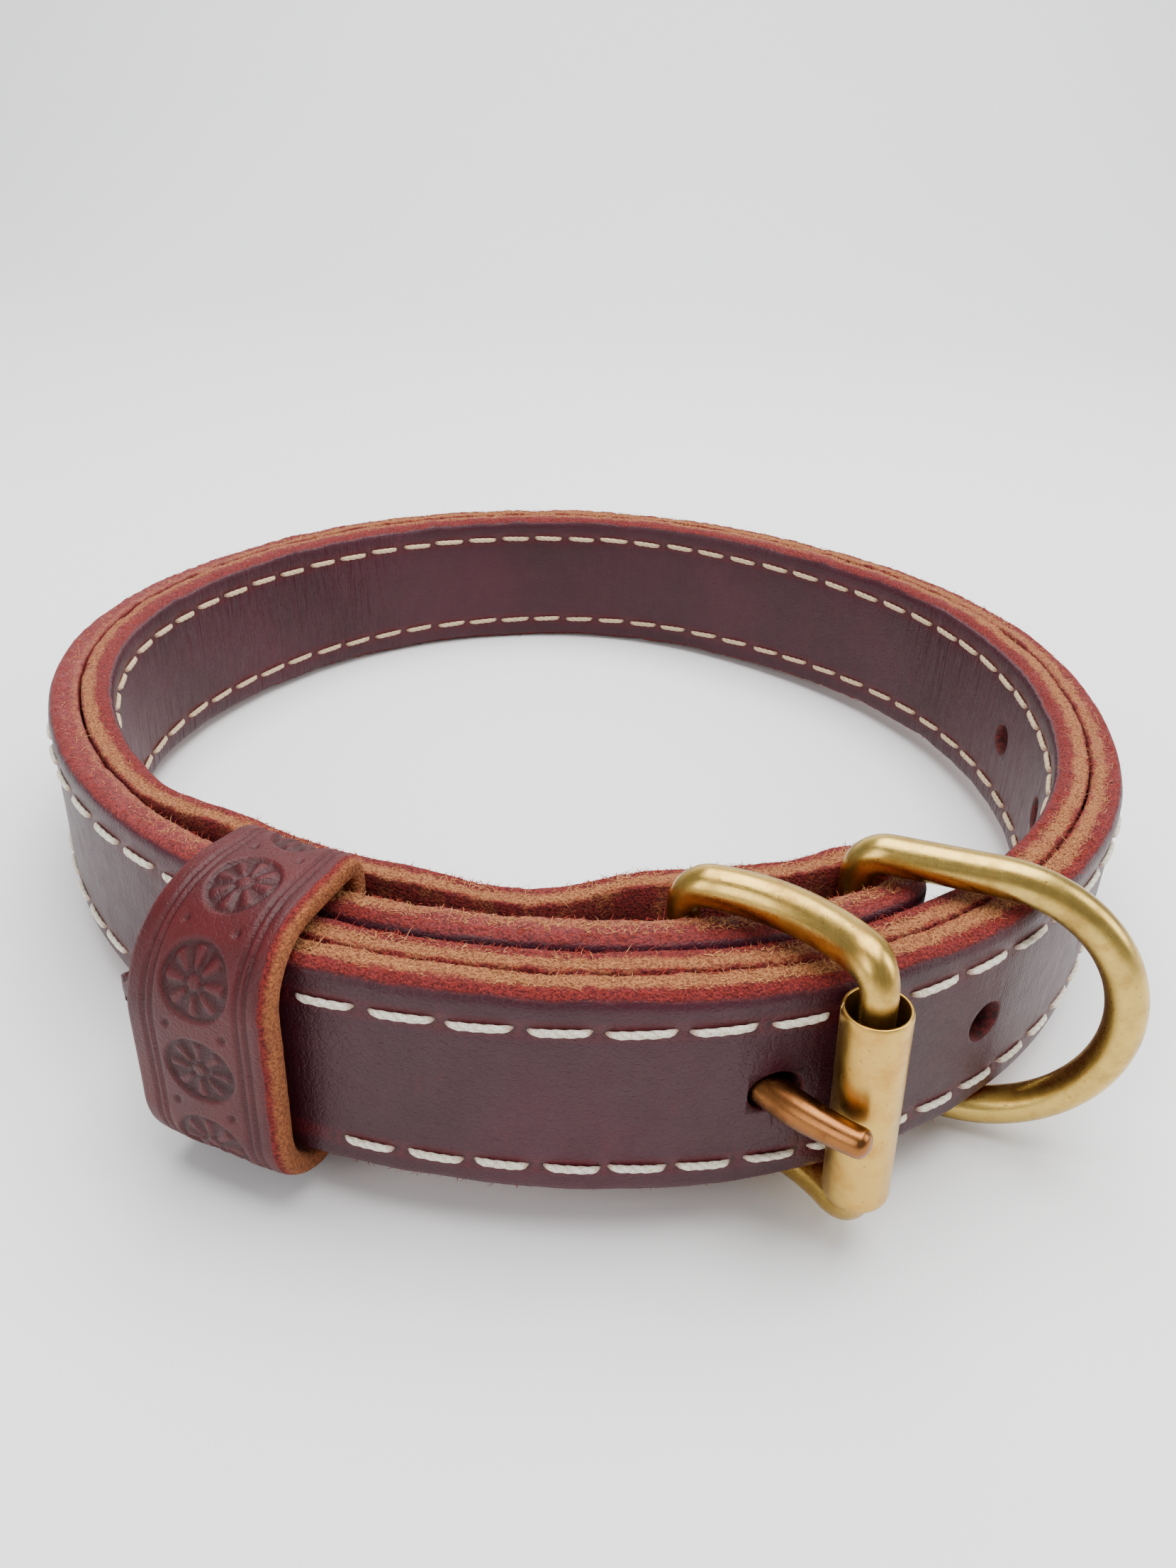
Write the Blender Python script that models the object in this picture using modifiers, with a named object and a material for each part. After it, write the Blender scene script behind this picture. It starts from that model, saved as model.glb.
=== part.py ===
"""Two-ply leather dog collar with a keeper, a roller buckle and a D-ring.

The collar is fastened and lies on its lower edge. One strip of leather makes both
plies: it starts at the tip, goes once round the neck as the outer ply, carries on
behind the fastened end, folds round the D-ring's bar and comes back as the inner ply.
Run it with blender --background --python part.py, or from the text editor.
Lengths are metres and angles are degrees. Plan angles start at the front, which
faces -Y, and grow towards the right, the back and the left.
"""
import math

import bmesh
import bpy
from mathutils import Matrix, Vector

# Strap
strap_width = 0.0256
ply = 0.0041
ply_gap = 0.0003
layer_gap = 0.0004
edge_round = 0.0008
loop_radius = 0.075
tip_angle = -35.0
tip_length = 0.022
tip_power = 0.6
tip_end = 0.0010

# Holes, measured along the strap from its tip
hole_diameter = 0.0044
hole_first = 0.0690
hole_pitch = 0.0254
hole_count = 5

# Keeper
keeper_angle = -24.0
keeper_width = 0.0162
keeper_thickness = 0.0026
keeper_front_slack = 0.0022
keeper_edge_slack = 0.0015
keeper_front_corner = 0.0079
keeper_far_corner = 0.0122
keeper_back_corner = 0.0024
keeper_edge_round = 0.0005

# Buckle
heel_angle = 11.8
heel_bar = 0.0036
leg_thickness = 0.0048
leg_arch = 0.0029
buckle_room = 0.0015
elbow_radius = 0.0030
buckle_pivot = 0.4
buckle_lean = 3.4
roller_angle = 21.4
roller_bar = 0.0036
roller_diameter = 0.0069
roller_wall = 0.00045
roller_room = 0.0031
roller_clearance = 0.0004

# Prong
prong_thickness = 0.0031
prong_tip_thickness = 0.0019
prong_eye_strip = 0.0012
prong_eye_height = 0.0036
prong_overhang = 0.0018
prong_seat_angle = 33.0
prong_hole_slack = 0.0005
prong_rise = 0.30
prong_blend = 0.30
prong_eye_turn = 250.0
prong_cuts = 12
slot_length = 0.0120
slot_height = 0.0056
slot_shift = 0.15

# D-ring
d_angle = 30.2
d_wire = 0.0045
d_bar = 0.0040
d_room = 0.0057
d_leg = 0.0146
d_elbow = 0.0030
d_heading = -18.0
d_lean = 0.6
fold_slack = 0.0012

# Straight wire beside each elbow, as a share of its radius, and the elbow's cuts
elbow_lead = 0.6
elbow_cuts = 5

# Gap that touching pieces keep
seat_gap = 0.0003

# Densities, for the place where the collar comes to rest
leather_density = 1000.0
brass_density = 8500.0

# Route of the strap's mid-line: plan angle, and the distance from the loop's
# centre as a share of loop_radius
route_step = 30.0
route_rows = [
    (-35, 1.034),
    (-5, 1.028),
    (25, 1.033),
    (55, 1.004),
    (85, 0.975),
    (115, 0.986),
    (145, 0.993),
    (175, 1.030),
    (205, 1.020),
    (235, 0.996),
    (265, 0.980),
    (295, 0.936),
]
TURN = 360.0

strap_thickness = 2 * ply + ply_gap
stack_step = strap_thickness + layer_gap
mid_height = strap_width / 2
buckle_inside = strap_width + buckle_room
roller_length = buckle_inside - roller_room
d_width = strap_width + d_room
pocket_at_keeper = keeper_thickness + 2 * seat_gap - ply_gap
pocket_at_heel = heel_bar + prong_eye_strip + 4 * seat_gap - ply_gap
pocket_at_d = d_bar + 2 * seat_gap - ply_gap
layer_face = stack_step + ply_gap / 2 - strap_thickness / 2 + ply

# Opening between the layers behind the billet: plan angle, and how far the back
# layer stands off the one in front of it
pocket_rows = [
    (keeper_angle - 25, 0.0),
    (keeper_angle - 9, pocket_at_keeper),
    (keeper_angle + 9, pocket_at_keeper),
    (-3.5, 0.5 * pocket_at_keeper),
    (heel_angle - 3, pocket_at_heel),
    (heel_angle + 4, pocket_at_heel),
    (d_angle - 4, pocket_at_d),
    (d_angle + 12, pocket_at_d),
]


def cubic(values, t):
    """Catmull-Rom value between the second and third of four values."""
    a, b, c, d = values
    return b + 0.5 * t * (c - a + t * (2 * a - 5 * b + 4 * c - d + t * (3 * (b - c) + d - a)))


def smooth(t):
    t = min(max(t, 0.0), 1.0)
    return t * t * (3 - 2 * t)


def route_radius(angle):
    """Distance of the strap's mid-line from the loop's centre.

    Past one turn the strap lies behind its own front stretch, one stack inwards.
    """
    start = route_rows[0][0]
    if angle > start + TURN:
        return route_radius(angle - TURN) - stack_step
    shares = [row[1] * loop_radius for row in route_rows]
    closed = shares + [shares[0] - stack_step, shares[1] - stack_step]
    spaced = [shares[0]] + closed
    place = max(angle - start, 0.0) / route_step
    index = min(int(place), len(route_rows) - 1)
    return cubic(spaced[index:index + 4], place - index)


def route_point(angle):
    radius = route_radius(angle)
    turn = math.radians(angle)
    return Vector((radius * math.sin(turn), -radius * math.cos(turn), 0.0))


def route_tangent(angle):
    step = 0.05
    return (route_point(angle + step) - route_point(angle - step)).normalized()


def outward(angle):
    tangent = route_tangent(angle)
    return Vector((tangent.y, -tangent.x, 0.0))


def place(angle, out, height=0.0):
    """Point beside the strap's mid-line, out metres outwards of it."""
    return route_point(angle) + outward(angle) * out + Vector((0.0, 0.0, height))


def angle_along(start, length):
    """Plan angle at a length along the mid-line from a start angle."""
    step = 0.25 if length > 0 else -0.25
    angle = start
    left = abs(length)
    while True:
        chord = (route_point(angle + step) - route_point(angle)).length
        if chord >= left:
            return angle + step * left / chord
        left -= chord
        angle += step


def pocket(angle):
    """Stand-off of the back layer, by smooth steps between the rows."""
    front = angle - TURN
    rows = pocket_rows
    if front <= rows[0][0]:
        return rows[0][1]
    for (a, low), (b, high) in zip(rows, rows[1:]):
        if front <= b:
            return low + (high - low) * smooth((front - a) / (b - a))
    return rows[-1][1]


def material(name, colour, roughness, metallic):
    made = bpy.data.materials.new(name)
    made.use_nodes = True
    shader = made.node_tree.nodes["Principled BSDF"]
    shader.inputs["Base Color"].default_value = (*colour, 1.0)
    shader.inputs["Roughness"].default_value = roughness
    shader.inputs["Metallic"].default_value = metallic
    return made


def add_object(name, data, collection, parent=None, made=None):
    thing = bpy.data.objects.new(name, data)
    collection.objects.link(thing)
    thing.parent = parent
    if made:
        data.materials.append(made)
    return thing


def mesh_from(name, vertices, faces):
    mesh = bpy.data.meshes.new(name)
    mesh.from_pydata([tuple(v) for v in vertices], [], faces)
    mesh.update()
    return mesh


def add_bevel(thing, width, segments):
    bevel = thing.modifiers.new("Rounded edges", "BEVEL")
    bevel.width = width
    bevel.segments = segments
    bevel.limit_method = "ANGLE"
    bevel.angle_limit = math.radians(50)
    bevel.use_clamp_overlap = True
    return bevel


def add_solidify(thing, thickness):
    shell = thing.modifiers.new("Thickness", "SOLIDIFY")
    shell.thickness = thickness
    shell.offset = 0.0
    shell.use_even_offset = True
    return shell


def cut(thing, cutter):
    hole = thing.modifiers.new("Cut " + cutter.name, "BOOLEAN")
    hole.operation = "DIFFERENCE"
    hole.solver = "EXACT"
    hole.object = cutter


def tip_half_height(distance):
    """Half of the strap's height at a distance from its pointed end."""
    share = min((distance + tip_end) / tip_length, 1.0)
    return mid_height * share ** tip_power


def strap_stations():
    """Angles of the strap's sections and their distances from the tip."""
    near_tip = [share * tip_length for share in (0.0, 0.11, 0.27, 0.48, 0.72, 1.0)]
    rows = [(angle_along(tip_angle, d) if d else tip_angle, d) for d in near_tip]
    fold = TURN + d_angle + math.degrees(fold_slack / loop_radius)
    step = 4.0
    count = int(math.ceil((fold - rows[-1][0]) / step))
    first = rows[-1][0]
    for index in range(1, count + 1):
        rows.append((first + (fold - first) * index / count, tip_length))
    return rows


def build_strap(collection, cutters, parent):
    rows = strap_stations()
    half_step = (ply + ply_gap) / 2
    path = [(place(angle, half_step), tip_half_height(d)) for angle, d in rows]
    fold = rows[-1][0]
    bend = half_step + pocket(fold) / 2
    centre = place(fold, half_step - bend)
    fold_cuts = 10
    for index in range(1, fold_cuts):
        turn = math.pi * index / fold_cuts
        reach = outward(fold) * math.cos(turn) + route_tangent(fold) * math.sin(turn)
        path.append((centre + reach * bend, mid_height))
    for angle, d in reversed(rows):
        path.append((place(angle, -half_step - pocket(angle)), tip_half_height(d)))
    vertices = []
    for point, half in path:
        vertices.append((point.x, point.y, mid_height - half))
        vertices.append((point.x, point.y, mid_height + half))
    faces = [(2 * i, 2 * i + 2, 2 * i + 3, 2 * i + 1) for i in range(len(path) - 1)]
    leather = material("oxblood leather", (0.085, 0.035, 0.042), 0.45, 0.0)
    strap = add_object("strap", mesh_from("strap", vertices, faces), collection, parent, leather)
    add_solidify(strap, ply)
    add_bevel(strap, edge_round, 2)
    for cutter in hole_cutters(cutters, parent):
        cut(strap, cutter)
    return strap


def hole_cutters(cutters, parent):
    """Round punches through both plies, one for each hole."""
    made = []
    for index in range(hole_count):
        angle = angle_along(tip_angle, hole_first + index * hole_pitch)
        bpy.ops.mesh.primitive_cylinder_add(
            vertices=16, radius=hole_diameter / 2, depth=strap_thickness + 2 * layer_gap)
        punch = bpy.context.object
        punch.name = f"punch_{index + 1}"
        for owner in punch.users_collection:
            owner.objects.unlink(punch)
        cutters.objects.link(punch)
        punch.parent = parent
        turn = outward(angle).to_track_quat("Z", "Y").to_matrix().to_4x4()
        punch.matrix_local = Matrix.Translation(place(angle, 0.0, mid_height)) @ turn
        made.append(punch)
    return made


def rounded_loop(low, high, bottom, top, low_corner, high_corner, top_corner, cuts):
    """Closed outline in (out, height): one radius behind and two in front."""
    corners = [
        (high - top_corner, top - top_corner, top_corner, 0),
        (low + low_corner, top - low_corner, low_corner, 90),
        (low + low_corner, bottom + low_corner, low_corner, 180),
        (high - high_corner, bottom + high_corner, high_corner, 270),
    ]
    outline = []
    for x, y, radius, start in corners:
        for index in range(cuts + 1):
            turn = math.radians(start + 90 * index / cuts)
            outline.append((x + radius * math.cos(turn), y + radius * math.sin(turn)))
    return outline


def build_keeper(collection, parent):
    """Loop of leather round the billet and the layer behind it."""
    half = keeper_thickness / 2
    front = strap_thickness / 2 + keeper_front_slack + half
    back = -(layer_face + seat_gap + half)
    below = -keeper_edge_slack - half
    above = strap_width + keeper_edge_slack + half
    columns = 5
    vertices = []
    for index in range(columns):
        share = index / (columns - 1)
        along = keeper_width * (share - 0.5)
        angle = angle_along(keeper_angle, along) if along else keeper_angle
        corner = keeper_far_corner + (keeper_front_corner - keeper_far_corner) * share
        outline = rounded_loop(
            back, front, below, above, keeper_back_corner, keeper_front_corner, corner, 6)
        for out, height in outline:
            vertices.append(place(angle, out, height))
    count = len(outline)
    faces = []
    for column in range(columns - 1):
        for index in range(count):
            a = column * count + index
            b = column * count + (index + 1) % count
            faces.append((a, b, b + count, a + count))
    leather = material("keeper leather", (0.11, 0.035, 0.04), 0.5, 0.0)
    keeper = add_object("keeper", mesh_from("keeper", vertices, faces), collection, parent, leather)
    add_solidify(keeper, keeper_thickness)
    add_bevel(keeper, keeper_edge_round, 2)
    return keeper


def wire(name, points, collection, parent, made, cyclic=True, sides=3):
    """Round wire along (point, radius) rows, as a polyline with a bevel."""
    curve = bpy.data.curves.new(name, "CURVE")
    curve.dimensions = "3D"
    curve.bevel_depth = 1.0
    curve.bevel_resolution = sides
    curve.use_fill_caps = True
    spline = curve.splines.new("POLY")
    spline.points.add(len(points) - 1)
    for target, (point, radius) in zip(spline.points, points):
        target.co = (*point, 1.0)
        target.radius = radius
    spline.use_cyclic_u = cyclic
    return add_object(name, curve, collection, parent, made)


def heel_place():
    """Centre of the heel bar, in the pocket behind the middle layer."""
    return place(heel_angle, -(layer_face + seat_gap + heel_bar / 2), mid_height)


def roller_place():
    out = strap_thickness / 2 + roller_clearance + roller_diameter / 2
    return place(roller_angle, out, mid_height)


def buckle_frame_axes():
    """Matrix of the buckle: X from heel bar to roller, Z along the bars."""
    heel = heel_place()
    along = (roller_place() - heel).normalized()
    across = Vector((-along.y, along.x, 0.0))
    turn = Matrix((along, across, Vector((0, 0, 1)))).transposed().to_4x4()
    pivot = heel.lerp(roller_place(), buckle_pivot)
    lean = Matrix.Rotation(math.radians(buckle_lean), 4, outward(heel_angle))
    leaned = Matrix.Translation(pivot) @ lean @ Matrix.Translation(-pivot)
    return leaned @ Matrix.Translation(heel) @ turn


def arc_point(distance, chord, arch):
    """Point along a flat arc over a chord on X, bulging to +Y."""
    radius = (chord ** 2 / 4 + arch ** 2) / (2 * arch)
    half = math.asin(chord / 2 / radius)
    turn = half - distance / radius
    return chord / 2 - radius * math.sin(turn), radius * (math.cos(turn) - math.cos(half))


def arc_length(chord, arch):
    radius = (chord ** 2 / 4 + arch ** 2) / (2 * arch)
    return 2 * radius * math.asin(chord / 2 / radius)


def half_frame(chord):
    """Upper half of the buckle's centre line, from the heel bar to the roller bar."""
    height = buckle_inside / 2 + leg_thickness / 2
    length = arc_length(chord, leg_arch)
    lead = (1 + elbow_lead) * elbow_radius
    rows = [(0.0, 0.0, heel_bar), (0.0, height - lead, heel_bar)]
    for index in range(elbow_cuts + 1):
        turn = math.pi / 2 * index / elbow_cuts
        run = elbow_radius * (1 - math.cos(turn))
        rise = height - elbow_radius * (1 - math.sin(turn))
        size = heel_bar + (leg_thickness - heel_bar) * smooth(index / elbow_cuts)
        rows.append((run, rise, size))
    leg_cuts = 7
    for index in range(1, leg_cuts):
        run = elbow_radius + (length - 2 * elbow_radius) * index / leg_cuts
        rows.append((run, height, leg_thickness))
    for index in range(elbow_cuts + 1):
        turn = math.pi / 2 * index / elbow_cuts
        run = length - elbow_radius * (1 - math.sin(turn))
        rise = height - elbow_radius * (1 - math.cos(turn))
        size = leg_thickness + (roller_bar - leg_thickness) * smooth(index / elbow_cuts)
        rows.append((run, rise, size))
    rows.append((length, height - lead, roller_bar))
    rows.append((length, 0.0, roller_bar))
    return rows


def build_buckle(collection, parent, brass):
    chord = (roller_place() - heel_place()).length
    upper = half_frame(chord)
    lower = [(run, -rise, size) for run, rise, size in reversed(upper[1:-1])]
    points = []
    for run, rise, size in upper + lower:
        x, y = arc_point(run, chord, leg_arch)
        points.append(((x, y, rise), size / 2))
    frame = wire("buckle_frame", points, collection, parent, brass)
    frame.matrix_local = buckle_frame_axes()
    return frame


def build_roller(collection, parent, brass):
    """Thin tube round the roller bar, resting on the lower elbow."""
    outer = roller_diameter / 2
    inner = outer - roller_wall
    low = -buckle_inside / 2 + seat_gap
    high = low + roller_length
    profile = [(inner, 0, low), (inner, 0, high), (outer, 0, high), (outer, 0, low)]
    mesh = bpy.data.meshes.new("buckle_roller")
    mesh.from_pydata(profile, [(0, 1), (1, 2), (2, 3), (3, 0)], [])
    roller = add_object("buckle_roller", mesh, collection, parent, brass)
    turned = roller.modifiers.new("Turned", "SCREW")
    turned.angle = math.radians(360)
    turned.steps = 24
    turned.render_steps = 24
    turned.use_merge_vertices = True
    turned.merge_threshold = 0.00001
    chord = (roller_place() - heel_place()).length
    roller.matrix_local = buckle_frame_axes() @ Matrix.Translation((chord, 0, 0))
    return roller


def bezier(points, t):
    a, b, c, d = points
    u = 1 - t
    return a * u ** 3 + b * 3 * u * u * t + c * 3 * u * t * t + d * t ** 3


def prong_path():
    """Centre line of the prong in plan, with its half width and half height."""
    heel = heel_place()
    eye = heel_bar / 2 + seat_gap + prong_eye_strip / 2
    strip = prong_eye_strip / 2
    eye_half = prong_eye_height / 2
    rows = []
    for index in range(prong_cuts + 1):
        turn = math.radians(prong_eye_turn * (1 - index / prong_cuts))
        point = heel + Vector((math.cos(turn), math.sin(turn), 0)) * eye
        rows.append((point, strip, eye_half))
    seat = math.radians(prong_seat_angle)
    away = Vector((-math.sin(seat), -math.cos(seat), 0))
    along = Vector((math.cos(seat), -math.sin(seat), 0))
    half = prong_thickness / 2
    contact = roller_place() + away * (roller_diameter / 2 + seat_gap + half)
    tip = contact + along * prong_overhang
    leave = rows[-1][0]
    reach = (tip - leave).length
    lead = reach * prong_rise
    bend = [leave, leave - Vector((0, lead, 0)), contact - along * lead, tip]
    for index in range(1, prong_cuts + 1):
        t = index / prong_cuts
        grow = smooth(t / prong_blend)
        thin = smooth((t - 1 + prong_blend) / prong_blend)
        wide = strip + (half - strip) * grow + (prong_tip_thickness / 2 - half) * thin
        tall = eye_half + (half - eye_half) * grow + (prong_tip_thickness / 2 - half) * thin
        rows.append((bezier(bend, t), wide, tall))
    end = prong_tip_thickness / 3
    rows.append((tip + along * end, wide - end / 3, tall - end / 3))
    return rows


def loft(rows, grow=0.0, sides=12):
    """Rings of oval sections along a flat path, closed at both ends."""
    vertices = []
    count = len(rows)
    for index, (point, wide, tall) in enumerate(rows):
        before = rows[max(index - 1, 0)][0]
        after = rows[min(index + 1, count - 1)][0]
        tangent = (after - before).normalized()
        side = Vector((tangent.y, -tangent.x, 0))
        for corner in range(sides):
            turn = 2 * math.pi * corner / sides
            vertices.append(
                point + side * (wide + grow) * math.cos(turn)
                + Vector((0, 0, 1)) * (tall + grow) * math.sin(turn))
    faces = [tuple(range(sides))]
    for index in range(count - 1):
        for corner in range(sides):
            a = index * sides + corner
            b = index * sides + (corner + 1) % sides
            faces.append((a, a + sides, b + sides, b))
    faces.append(tuple(reversed(range((count - 1) * sides, count * sides))))
    return vertices, faces


def leaned(points):
    """Points of the upright buckle, leaned with its frame."""
    heel = heel_place()
    along = (roller_place() - heel).normalized()
    across = Vector((-along.y, along.x, 0.0))
    turn = Matrix((along, across, Vector((0, 0, 1)))).transposed().to_4x4()
    upright = Matrix.Translation(heel) @ turn
    move = buckle_frame_axes() @ upright.inverted()
    return [move @ point for point in points]


def build_prong(collection, cutters, parent, strap):
    rows = prong_path()
    vertices, faces = loft(rows)
    brass = material("prong brass", (0.45, 0.20, 0.10), 0.28, 1.0)
    mesh = mesh_from("buckle_prong", leaned(vertices), faces)
    prong = add_object("buckle_prong", mesh, collection, parent, brass)
    vertices, faces = loft(rows[prong_cuts + 1:-1], prong_hole_slack)
    worn = add_object(
        "prong_way", mesh_from("prong_way", leaned(vertices), faces), cutters, parent)
    slot = build_slot_cutter(cutters, parent)
    cut(strap, worn)
    cut(strap, slot)
    return prong


def build_slot_cutter(cutters, parent):
    """Oblong slot in the middle layer, where the prong leaves the heel bar."""
    inner = strap_thickness / 2 + layer_gap / 2
    outer = layer_face + seat_gap / 2
    depth = outer - inner
    bpy.ops.mesh.primitive_cube_add(size=1)
    slot = bpy.context.object
    slot.name = "prong_slot"
    for owner in slot.users_collection:
        owner.objects.unlink(slot)
    cutters.objects.link(slot)
    slot.parent = parent
    centre = place(heel_angle, -(inner + outer) / 2, mid_height)
    centre = centre + route_tangent(heel_angle) * slot_length * slot_shift
    along = route_tangent(heel_angle)
    turn = Matrix((along, -outward(heel_angle), Vector((0, 0, 1)))).transposed().to_4x4()
    scale = Matrix.Diagonal((slot_length, depth, slot_height, 1.0))
    slot.matrix_local = Matrix.Translation(centre) @ turn @ scale
    return slot


def d_place():
    return place(d_angle, -(layer_face + seat_gap + d_bar / 2), mid_height)


def build_d_ring(collection, parent):
    """D-ring whose straight bar is held in the strap's fold."""
    half = d_width / 2
    bow_cuts = 16
    lead = (1 + elbow_lead) * d_elbow
    rows = [(0.0, 0.0, d_bar), (0.0, half - lead, d_bar)]
    for index in range(elbow_cuts + 1):
        turn = math.pi / 2 * index / elbow_cuts
        run = d_elbow * (1 - math.cos(turn))
        rise = half - d_elbow * (1 - math.sin(turn))
        rows.append((run, rise, d_bar + (d_wire - d_bar) * smooth(index / elbow_cuts)))
    rows.append(((d_elbow + d_leg) / 2, half, d_wire))
    for index in range(bow_cuts // 2 + 1):
        turn = math.pi * index / bow_cuts
        rows.append((d_leg + half * math.sin(turn), half * math.cos(turn), d_wire))
    lower = [(run, -rise, size) for run, rise, size in reversed(rows[1:-1])]
    points = [((run, 0, rise), size / 2) for run, rise, size in rows + lower]
    brass = material("d_ring brass", (0.60, 0.42, 0.15), 0.25, 1.0)
    ring = wire("d_ring", points, collection, parent, brass)
    head = Matrix.Rotation(math.radians(d_heading), 4, "Z")
    lean = Matrix.Rotation(math.radians(-d_lean), 4, "Y")
    ring.matrix_local = Matrix.Translation(d_place()) @ head @ lean
    return ring


def outer_mesh(thing):
    """Triangles of a finished piece in world coordinates."""
    graph = bpy.context.evaluated_depsgraph_get()
    shape = bmesh.new()
    shape.from_mesh(bpy.data.meshes.new_from_object(thing.evaluated_get(graph)))
    bmesh.ops.remove_doubles(shape, verts=shape.verts, dist=0.000001)
    bmesh.ops.recalc_face_normals(shape, faces=shape.faces)
    bmesh.ops.triangulate(shape, faces=shape.faces)
    shape.transform(thing.matrix_world)
    return shape


def rest_on_floor(root, pieces):
    """Turn the collar onto the three points under its weight, then centre it."""
    bpy.context.view_layer.update()
    weight = 0.0
    moment = Vector()
    hull = bmesh.new()
    for thing, density in pieces:
        shape = outer_mesh(thing)
        for face in shape.faces:
            a, b, c = [v.co for v in face.verts]
            part = a.dot(b.cross(c)) / 6 * density
            weight += part
            moment += (a + b + c) / 4 * part
        for vertex in shape.verts:
            hull.verts.new(vertex.co)
        shape.free()
    centre = moment / weight
    bmesh.ops.convex_hull(hull, input=hull.verts, use_existing_faces=False)
    hull.normal_update()
    down = Vector((0, 0, -1))
    support = None
    for face in hull.faces:
        if face.normal.dot(down) < 0.9:
            continue
        foot = centre + down * ((face.calc_center_median() - centre).dot(face.normal)
                                / down.dot(face.normal))
        edges = zip(face.verts, list(face.verts)[1:] + [face.verts[0]])
        if all((b.co - a.co).cross(foot - a.co).dot(face.normal) >= 0 for a, b in edges):
            support = face.normal.copy()
    turn = support.rotation_difference(down).to_matrix().to_4x4()
    corners = [turn @ v.co for v in hull.verts]
    low = Vector([min(c[axis] for c in corners) for axis in range(3)])
    high = Vector([max(c[axis] for c in corners) for axis in range(3)])
    shift = Vector((-(low.x + high.x) / 2, -(low.y + high.y) / 2, -low.z))
    root.matrix_world = Matrix.Translation(shift) @ turn
    hull.free()


def main():
    for thing in list(bpy.data.objects):
        bpy.data.objects.remove(thing, do_unlink=True)
    scene = bpy.context.scene
    collection = bpy.data.collections.new("Dog collar")
    cutters = bpy.data.collections.new("Cutters")
    scene.collection.children.link(collection)
    scene.collection.children.link(cutters)
    cutters.hide_render = True
    root = bpy.data.objects.new("collar_root", None)
    collection.objects.link(root)
    brass = material("buckle brass", (0.58, 0.40, 0.14), 0.25, 1.0)
    roller_brass = material("roller brass", (0.62, 0.40, 0.12), 0.22, 1.0)
    strap = build_strap(collection, cutters, root)
    keeper = build_keeper(collection, root)
    frame = build_buckle(collection, root, brass)
    roller = build_roller(collection, root, roller_brass)
    prong = build_prong(collection, cutters, root, strap)
    ring = build_d_ring(collection, root)
    for cutter in cutters.objects:
        cutter.hide_render = True
        cutter.display_type = "WIRE"
    leather = [(strap, leather_density), (keeper, leather_density)]
    metal = [(piece, brass_density) for piece in (frame, roller, prong, ring)]
    rest_on_floor(root, leather + metal)


main()
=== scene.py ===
import math

import bmesh
import bpy
import numpy as np
from mathutils import Matrix, Vector


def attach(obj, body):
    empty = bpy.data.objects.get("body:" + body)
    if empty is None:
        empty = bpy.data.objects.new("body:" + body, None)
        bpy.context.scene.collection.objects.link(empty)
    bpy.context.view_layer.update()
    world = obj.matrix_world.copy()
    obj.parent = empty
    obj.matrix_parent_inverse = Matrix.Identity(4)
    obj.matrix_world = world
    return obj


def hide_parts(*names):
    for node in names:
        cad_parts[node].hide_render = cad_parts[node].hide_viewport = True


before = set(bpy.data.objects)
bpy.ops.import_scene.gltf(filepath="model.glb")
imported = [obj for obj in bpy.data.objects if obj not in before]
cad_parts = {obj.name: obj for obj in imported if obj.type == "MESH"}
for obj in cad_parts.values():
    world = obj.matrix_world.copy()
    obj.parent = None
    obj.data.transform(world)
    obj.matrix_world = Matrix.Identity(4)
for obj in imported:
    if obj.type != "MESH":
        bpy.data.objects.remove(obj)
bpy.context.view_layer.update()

# Sizes are metres and angles are degrees. The strap's route, its plies and the places
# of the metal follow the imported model. Plan angles start at the front and grow
# towards the right, the back and the left.
STRAP_WIDTH = 0.0256
PLY = 0.0041
PLY_GAP = 0.0003
LOOP_RADIUS = 0.075
TIP_ANGLE = -35.0
TIP_LENGTH = 0.022
TIP_POWER = 0.6
TIP_END = 0.0010
HOLE_DIAMETER = 0.0044
HOLE_FIRST = 0.0690
HOLE_PITCH = 0.0254
HOLE_COUNT = 5
STACK_STEP = 2 * PLY + PLY_GAP + 0.0004
MID_HEIGHT = STRAP_WIDTH / 2
HALF_STEP = (PLY + PLY_GAP) / 2
TURN = 360.0

ROUTE_STEP = 30.0
ROUTE_SHARES = np.array(
    [1.034, 1.028, 1.033, 1.004, 0.975, 0.986, 0.993, 1.030, 1.020, 0.996, 0.980, 0.936])

KEEPER_ANGLE = -24.0
KEEPER_WIDTH = 0.0162
KEEPER_THICKNESS = 0.0026
HEEL_ANGLE = 11.8
HEEL_BAR = 0.0036
D_ANGLE = 30.2
D_BAR = 0.0040
SEAT_GAP = 0.0003
PRONG_STRIP = 0.0012
FOLD_ANGLE = TURN + D_ANGLE + math.degrees(0.0012 / LOOP_RADIUS)
LAYER_FACE = STACK_STEP + PLY_GAP / 2 - (2 * PLY + PLY_GAP) / 2 + PLY

# Stand-off of the back layer behind the billet: plan angle and distance
POCKET_AT_KEEPER = KEEPER_THICKNESS + 2 * SEAT_GAP - PLY_GAP
POCKET_AT_HEEL = HEEL_BAR + PRONG_STRIP + 4 * SEAT_GAP - PLY_GAP
POCKET_AT_D = D_BAR + 2 * SEAT_GAP - PLY_GAP
POCKET_ROWS = [
    (KEEPER_ANGLE - 25, 0.0),
    (KEEPER_ANGLE - 9, POCKET_AT_KEEPER),
    (KEEPER_ANGLE + 9, POCKET_AT_KEEPER),
    (-3.5, 0.5 * POCKET_AT_KEEPER),
    (HEEL_ANGLE - 3, POCKET_AT_HEEL),
    (HEEL_ANGLE + 4, POCKET_AT_HEEL),
    (D_ANGLE - 4, POCKET_AT_D),
    (D_ANGLE + 12, POCKET_AT_D),
]

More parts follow.
